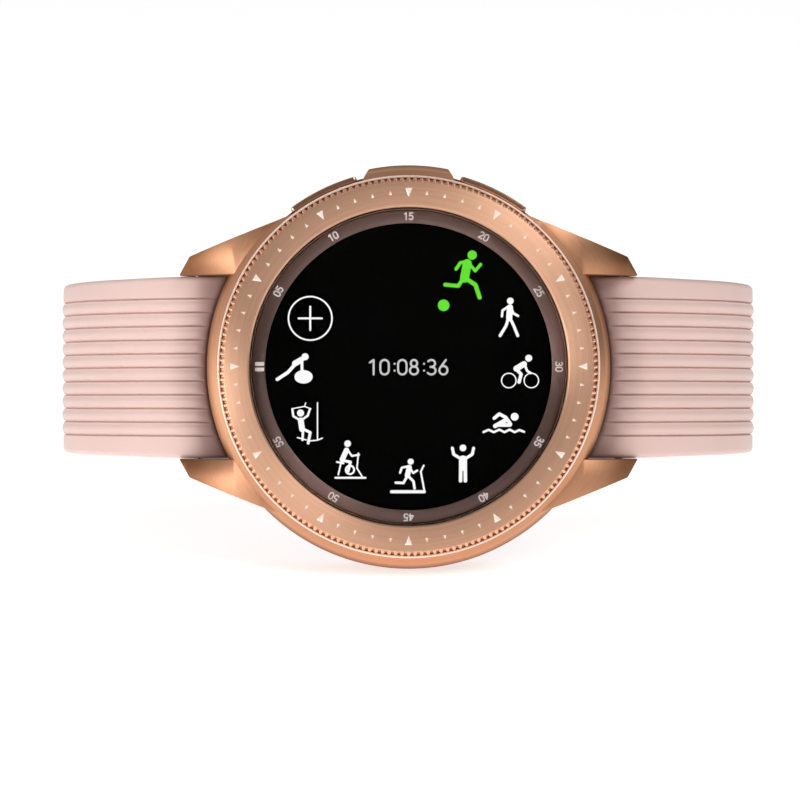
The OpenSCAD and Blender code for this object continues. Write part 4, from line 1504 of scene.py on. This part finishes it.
@dataclass
class BuckleStrap:
    """The 12 o'clock half, with its buckle, tongue and keepers."""

    clasp: Point2 = (40.0, 30.0)
    straight: float = 18.5
    bar_gap: float = 1.6
    barrel_r: float = 1.7
    slot_w: float = 2.8
    keeper_l: float = 4.5
    keeper_wall: float = 1.0
    fixed_u: float = 12.2
    free_u: float = 5.0
    wire: float = 1.5
    frame_l: float = 10.5
    eye_r: float = 1.3
    eye_hole_r: float = 0.5
    tongue_z: float = 1.0
    tongue_eye_r: float = 1.5
    bore_r: float = 0.8

    def __post_init__(self) -> None:
        """Works out the path and the buckle's own axes."""
        bar = joint_place("strap_12_swing")
        self.half = StrapHalf(bar=Vector((-bar.x, bar.y, bar.z)), turns=(self.clasp,), straight=self.straight)
        self.start = self.half.length() - self.straight
        point = self.half.at(self.half.length())
        self.out = Vector((point.out_x, 0.0, point.out_z))
        self.ahead = Vector((point.out_z, 0.0, -point.out_x))
        self.end_half = self.half.half_width(point.z)
        self.bar_u = self.straight + self.bar_gap

    def at_straight(self, u: float, y: float, height: float) -> Point3:
        """A place beside the straight part, from its start."""
        base = self.half.at(self.start)
        place = Vector((base.x, y, base.z)) + self.ahead * u + self.out * height
        return tuple(place)

    def cross_rod(self, low: float, high: float, radius: float, steps: int, edge: float = 0.0) -> Draft:
        """A round bar across the strap, on the buckle bar's own axis.

        Args:
            low: where it starts across the strap.
            high: where it ends.
            radius: its radius.
            steps: how many sides it has.
            edge: the size of the bevel at each end.

        Returns:
            The bar, on its own side of the dial.
        """
        ends = [self.at_straight(self.bar_u, y, 0) for y in (low, high)]
        return mirrored(rod(*ends, radius, steps, edge))

    def build(self, palette: Palette) -> None:
        """Builds the strap half with its fittings and dresses them."""
        half, end = self.half, self.half.length() + 0.2

        def ribs(u: float) -> float:
            """The ribs, which fade out before the keepers."""
            return 1.0 - ease((u - self.start + 5.0) / 4.0)

        loops = half.root_loops() + half.body_loops(
            half.join_u, end, ribs, lambda u: half.half_width(half.at(u).z), lambda u: half.thickness)
        strap = make_object("buckle_strap", mirrored(Draft().skin(loops)))
        combine(strap, self.cross_rod(-self.end_half, self.end_half, self.barrel_r, 48, 0.25), Join.ADD)
        combine(strap, self.cross_rod(-12, 12, self.bore_r, 32), Join.CUT)
        near, far, side = self.bar_u - 2.6, self.bar_u + 4, self.slot_w / 2
        slot = round_corners([(near, -side), (far, -side), (far, side), (near, side)], [1.2, 0, 0, 1.2], 6)
        tool = Draft().skin([[self.at_straight(u, y, h) for u, y in slot] for h in (-4.0, 4.0)])
        combine(strap, mirrored(tool), Join.CUT)
        combine(strap, rod((-half.bar.x, -11.0, half.bar.z), (-half.bar.x, 11.0, half.bar.z), 0.8), Join.CUT)
        combine(strap, mirrored(half.knob_room()), Join.CUT)
        shade(strap, 40.0)
        install(strap, "strap_12", "strap_rubber", palette.strap, "strap_buckle_side")
        self.build_keeper("fixed_loop", "strap_12", "fixed_keeper", self.fixed_u, 0.0, palette)
        self.build_keeper("free_loop", "free_keeper", "free_keeper", self.free_u, 0.25, palette)
        self.build_frame(palette)
        self.build_tongue(palette)

    def build_keeper(self, name: str, body: str, node: str, u: float, below: float, palette: Palette) -> None:
        """One keeper loop, a soft rectangle round the strap.

        Args:
            name: the piece's name.
            body: the body that it rides on.
            node: the node that it stands for.
            u: its start along the straight part.
            below: how far it hangs under the strap.
            palette: the finishes.
        """
        inner = self.end_half + 0.35
        low, high = -self.half.thickness / 2 - below, self.half.thickness * 1.5 + 0.6
        wall = self.keeper_wall
        middle = [(-inner - wall / 2, low - wall / 2), (inner + wall / 2, low - wall / 2),
                  (inner + wall / 2, high + wall / 2), (-inner - wall / 2, high + wall / 2)]
        path = round_corners(middle, 0.9, 6)
        loops = []
        count = len(path)
        for i, (y, h) in enumerate(path):
            ahead = Vector(path[(i + 1) % count]) - Vector(path[i - 1])
            side = Vector((ahead.y, -ahead.x)).normalized()
            section = round_corners([(0.0, -wall / 2), (self.keeper_l, -wall / 2),
                                     (self.keeper_l, wall / 2), (0.0, wall / 2)], 0.32, 4)
            loops.append([self.at_straight(u + du, y + side.x * out, h + side.y * out) for du, out in section])
        keeper = make_object(name, mirrored(Draft().skin(loops, ring=True)), 45.0)
        install(keeper, body, "strap_rubber", palette.strap, node)

    def build_frame(self, palette: Palette) -> None:
        """The buckle's frame: a round-cornered bow with an eye at each end."""
        half_y = self.end_half + 0.25 + self.wire / 2
        corners = [(0.0, half_y), (self.frame_l - 1.0, half_y), (self.frame_l - 1.0, -half_y), (0.0, -half_y)]
        path = [corners[0], *round_corners(corners, [0, 2.4, 2.4, 0], 8)[1:-1], corners[-1]]
        loops = []
        for i, (u, y) in enumerate(path):
            before, after = path[max(i - 1, 0)], path[min(i + 1, len(path) - 1)]
            along = (Vector(after) - Vector(before)).normalized()
            side = Vector((along.y, -along.x))
            share = abs(side.y)
            wide, tall = self.wire / 2 * share + 1.0 * (1 - share), 1.0
            loops.append([self.at_straight(self.bar_u + u + side.x * s, y + side.y * s, h)
                          for s, h in oval(wide, tall, 0.6, 24)])
        bow = make_object("buckle_bow", mirrored(Draft().skin(loops)))
        near, far = half_y - self.wire / 2, half_y + self.wire / 2
        for sign in (-1, 1):
            combine(bow, self.cross_rod(sign * near, sign * far, self.eye_r, 40, 0.15), Join.ADD)
        combine(bow, self.cross_rod(0.5 - far, far - 0.5, self.eye_hole_r, 24), Join.CUT)
        notch = round_corners([(-1.15, 0.45), (1.15, 0.45), (1.15, 2.5), (-1.15, 2.5)], [0.3, 0.3, 0, 0], 4)
        tool = Draft().skin([[self.at_straight(self.bar_u + u, y, h) for y, h in notch]
                             for u in (self.frame_l - 3.0, self.frame_l + 1.0)])
        combine(bow, mirrored(tool), Join.CUT)
        shade(bow, 35.0)
        install(bow, "buckle", "rose_gold_polished", palette.polished, "buckle_frame")

    def build_tongue(self, palette: Palette) -> None:
        """The tongue: an eye round the bar and a tapered finger."""
        loops = []
        for i in range(21):
            t = i / 20
            u = -0.4 + t * (self.frame_l + 0.6)
            wide = 0.9 - 0.22 * ease((t - 0.4) / 0.6)
            tall = 0.45 * (1 - 0.35 * ease((t - 0.85) / 0.15))
            if t > 0.97:
                wide, tall = wide * 0.75, tall * 0.7
            loops.append([self.at_straight(self.bar_u + u, y, self.tongue_z + h)
                          for y, h in oval(wide, tall, 0.7, 20)])
        tongue = make_object("buckle_pin", mirrored(Draft().skin(loops)))
        combine(tongue, self.cross_rod(-1.0, 1.0, self.tongue_eye_r, 40, 0.15), Join.ADD)
        combine(tongue, self.cross_rod(-3.0, 3.0, self.bore_r, 32), Join.CUT)
        shade(tongue, 35.0)
        install(tongue, "tongue", "rose_gold_polished", palette.polished, "buckle_tongue")


# ---------------------------------------------------------------- carried nodes


@dataclass
class InnerWorks:
    """Gives every node that is kept from the frame its own finish."""

    groups: dict[str, tuple[str, ...]] = field(default_factory=lambda: {
        "steel": ("back_screws", "spring_bar_left", "spring_bar_right", "release_pin_left", "release_pin_right",
                  "bar_spring_left", "bar_spring_right", "buckle_bar", "back_key_clip", "home_key_clip",
                  "bezel_retainer", "detent_balls", "detent_springs", "key_switches", "vibration_motor",
                  "speaker_mesh", "microphone", "bezel_magnets"),
        "seal": ("back_gasket", "glass_gasket", "key_seals"),
        "bracket": ("display_bracket", "battery_tray", "speaker"),
        "board": ("main_board", "sensor_board"),
        "chip": ("board_chips", "hall_sensors", "sensor_diodes"),
        "tin": ("board_shields",),
        "film": ("display_flex", "battery_lead", "key_flex"),
        "foil": ("battery",),
        "ferrite": ("ferrite_sheet",),
        "carrier": ("antenna_ring",),
    })

    def build(self, palette: Palette) -> None:
        """Makes the finishes and assigns them."""
        finishes = {
            "steel": palette.steel,
            "seal": Rubber("seal_rubber", (0.02, 0.02, 0.02)).material(),
            "bracket": Moulded("bracket_plastic", (0.035, 0.035, 0.04), 0.5).material(),
            "board": Moulded("board_green", (0.02, 0.11, 0.06), 0.35, 3000.0).material(),
            "chip": Moulded("chip_black", (0.02, 0.02, 0.022), 0.5).material(),
            "tin": PolishedMetal("shield_tin", (0.6, 0.61, 0.62), 0.35).material(),
            "film": Moulded("amber_film", (0.55, 0.28, 0.06), 0.3).material(),
            "foil": Moulded("battery_foil", (0.45, 0.47, 0.5), 0.35, 1500.0, metallic=0.9).material(),
            "ferrite": Moulded("ferrite", (0.03, 0.03, 0.035), 0.6).material(),
            "carrier": Moulded("antenna_carrier", (0.62, 0.58, 0.5), 0.5).material(),
        }
        for group, nodes in self.groups.items():
            for node in nodes:
                self.dress(node, finishes[group])
        self.dress("charging_coil", WoundCopper("coil_copper", (0.6, 0.24, 0.1)).material())

    def dress(self, node: str, material: Material) -> None:
        """Puts one finish on a kept node."""
        kept = frame["nodes"][node]
        kept.data.materials.clear()
        kept.data.materials.append(material)
        log.info("%s keeps its shape", node)


# ---------------------------------------------------------------- studio


@dataclass
class Studio:
    """The camera, the floor and the lights."""

    distance: float = 380.0
    view_width: float = 85.6
    dial_z: float = 12.4
    aim: Point2 = (-0.93, -3.58)
    sensor: float = 36.0
    room_turn: float = -50.0

    def build(self) -> None:
        """Builds the camera, the floor, the world and the lights."""
        self.build_camera()
        self.build_floor()
        self.build_world()
        self.build_lights()

    def build_camera(self) -> None:
        """Looks straight along the dial's axis."""
        lens = bpy.data.cameras.new("camera")
        lens.sensor_width = self.sensor
        lens.lens = self.sensor * self.distance / self.view_width
        lens.clip_start, lens.clip_end = 0.01, 50.0
        camera = bpy.data.objects.new("camera", lens)
        bpy.context.scene.collection.objects.link(camera)
        place = WATCH.matrix()
        place.translation = WATCH.to_row(self.aim[0], self.aim[1], self.dial_z + self.distance)
        camera.matrix_world = place
        bpy.context.scene.camera = camera

    def build_floor(self) -> None:
        """A wide pale floor."""
        mesh = bpy.data.meshes.new("floor")
        half, rows = 6.0, 12
        span = rows + 1
        points = [(-half + 2 * half * i / rows, -half + 2 * half * j / rows, 0.0)
                  for j in range(span) for i in range(span)]
        corners = [j * span + i for j in range(rows) for i in range(rows)]
        mesh.from_pydata(points, [], [(k, k + 1, k + 1 + span, k + span) for k in corners])
        floor = bpy.data.objects.new("floor", mesh)
        bpy.context.scene.collection.objects.link(floor)
        shader = Shader("floor_paint")
        shader.set(Base_Color=(0.93, 0.93, 0.93, 1.0), Roughness=0.8, Emission_Color=(1.0, 1.0, 1.0, 1.0),
                   Emission_Strength=0.66, Specular_IOR_Level=0.1)
        mesh.materials.append(shader.material)

    def build_world(self) -> None:
        """A soft room, brighter behind the watch and on its left than in front and on its right."""
        world = bpy.data.worlds.new("room")
        bpy.context.scene.world = world
        world.use_nodes = True
        tree = world.node_tree
        back = tree.nodes["Background"]
        kinds = ("TexCoord", "Mapping", "SeparateXYZ", "MapRange", "ValToRGB")
        place, turn, parts, spread, ramp = (tree.nodes.new(f"ShaderNode{kind}") for kind in kinds)
        spread.inputs["From Min"].default_value = -1.0
        turn.inputs["Rotation"].default_value = (0.0, 0.0, math.radians(self.room_turn))
        joins = ((place.outputs["Generated"], turn.inputs[0]), (turn.outputs[0], parts.inputs[0]),
                 (parts.outputs[1], spread.inputs["Value"]), (spread.outputs[0], ramp.inputs["Fac"]),
                 (ramp.outputs["Color"], back.inputs["Color"]))
        for source, target in joins:
            tree.links.new(source, target)
        set_ramp(ramp, (0.3, (0.17, 0.17, 0.175)), (0.75, (0.62, 0.62, 0.62)))
        back.inputs["Strength"].default_value = 0.9

    def light(self, name: str, place: Point3, size: float, power: float) -> None:
        """An area light that faces the dial.

        Args:
            name: the light's name.
            place: its place in the watch's millimetres.
            size: the disc's diameter, in millimetres.
            power: its power in watts.
        """
        lamp = bpy.data.lights.new(name, "AREA")
        lamp.shape = "DISK"
        lamp.size = size * MM
        lamp.energy = power
        holder = bpy.data.objects.new(name, lamp)
        bpy.context.scene.collection.objects.link(holder)
        here = WATCH.to_row(*place)
        target = WATCH.to_row(0.0, 0.0, self.dial_z)
        holder.location = here
        holder.rotation_euler = (target - here).to_track_quat("-Z", "Y").to_euler()

    def build_lights(self) -> None:
        """A light from the upper right and a wide one from the left."""
        self.light("upper_right", (270.0, 330.0, 460.0), 300.0, 1.4)
        self.light("low_left", (-390.0, -120.0, 420.0), 340.0, 2.7)


def main() -> None:
    """Builds the studio and the watch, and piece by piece."""
    scene = bpy.context.scene
    scene.view_settings.view_transform = "Standard"
    scene.view_settings.look = "None"
    Studio().build()
    palette = Palette()
    keys = (SideKey(1, "back_key"), SideKey(-1, "home_key"))
    for part in (Case(), Bezel(), Display(), *keys, TailStrap(), BuckleStrap(), InnerWorks()):
        part.build(palette)
        log.info("%s done", type(part).__name__)


if __name__ == "__main__":
    main()
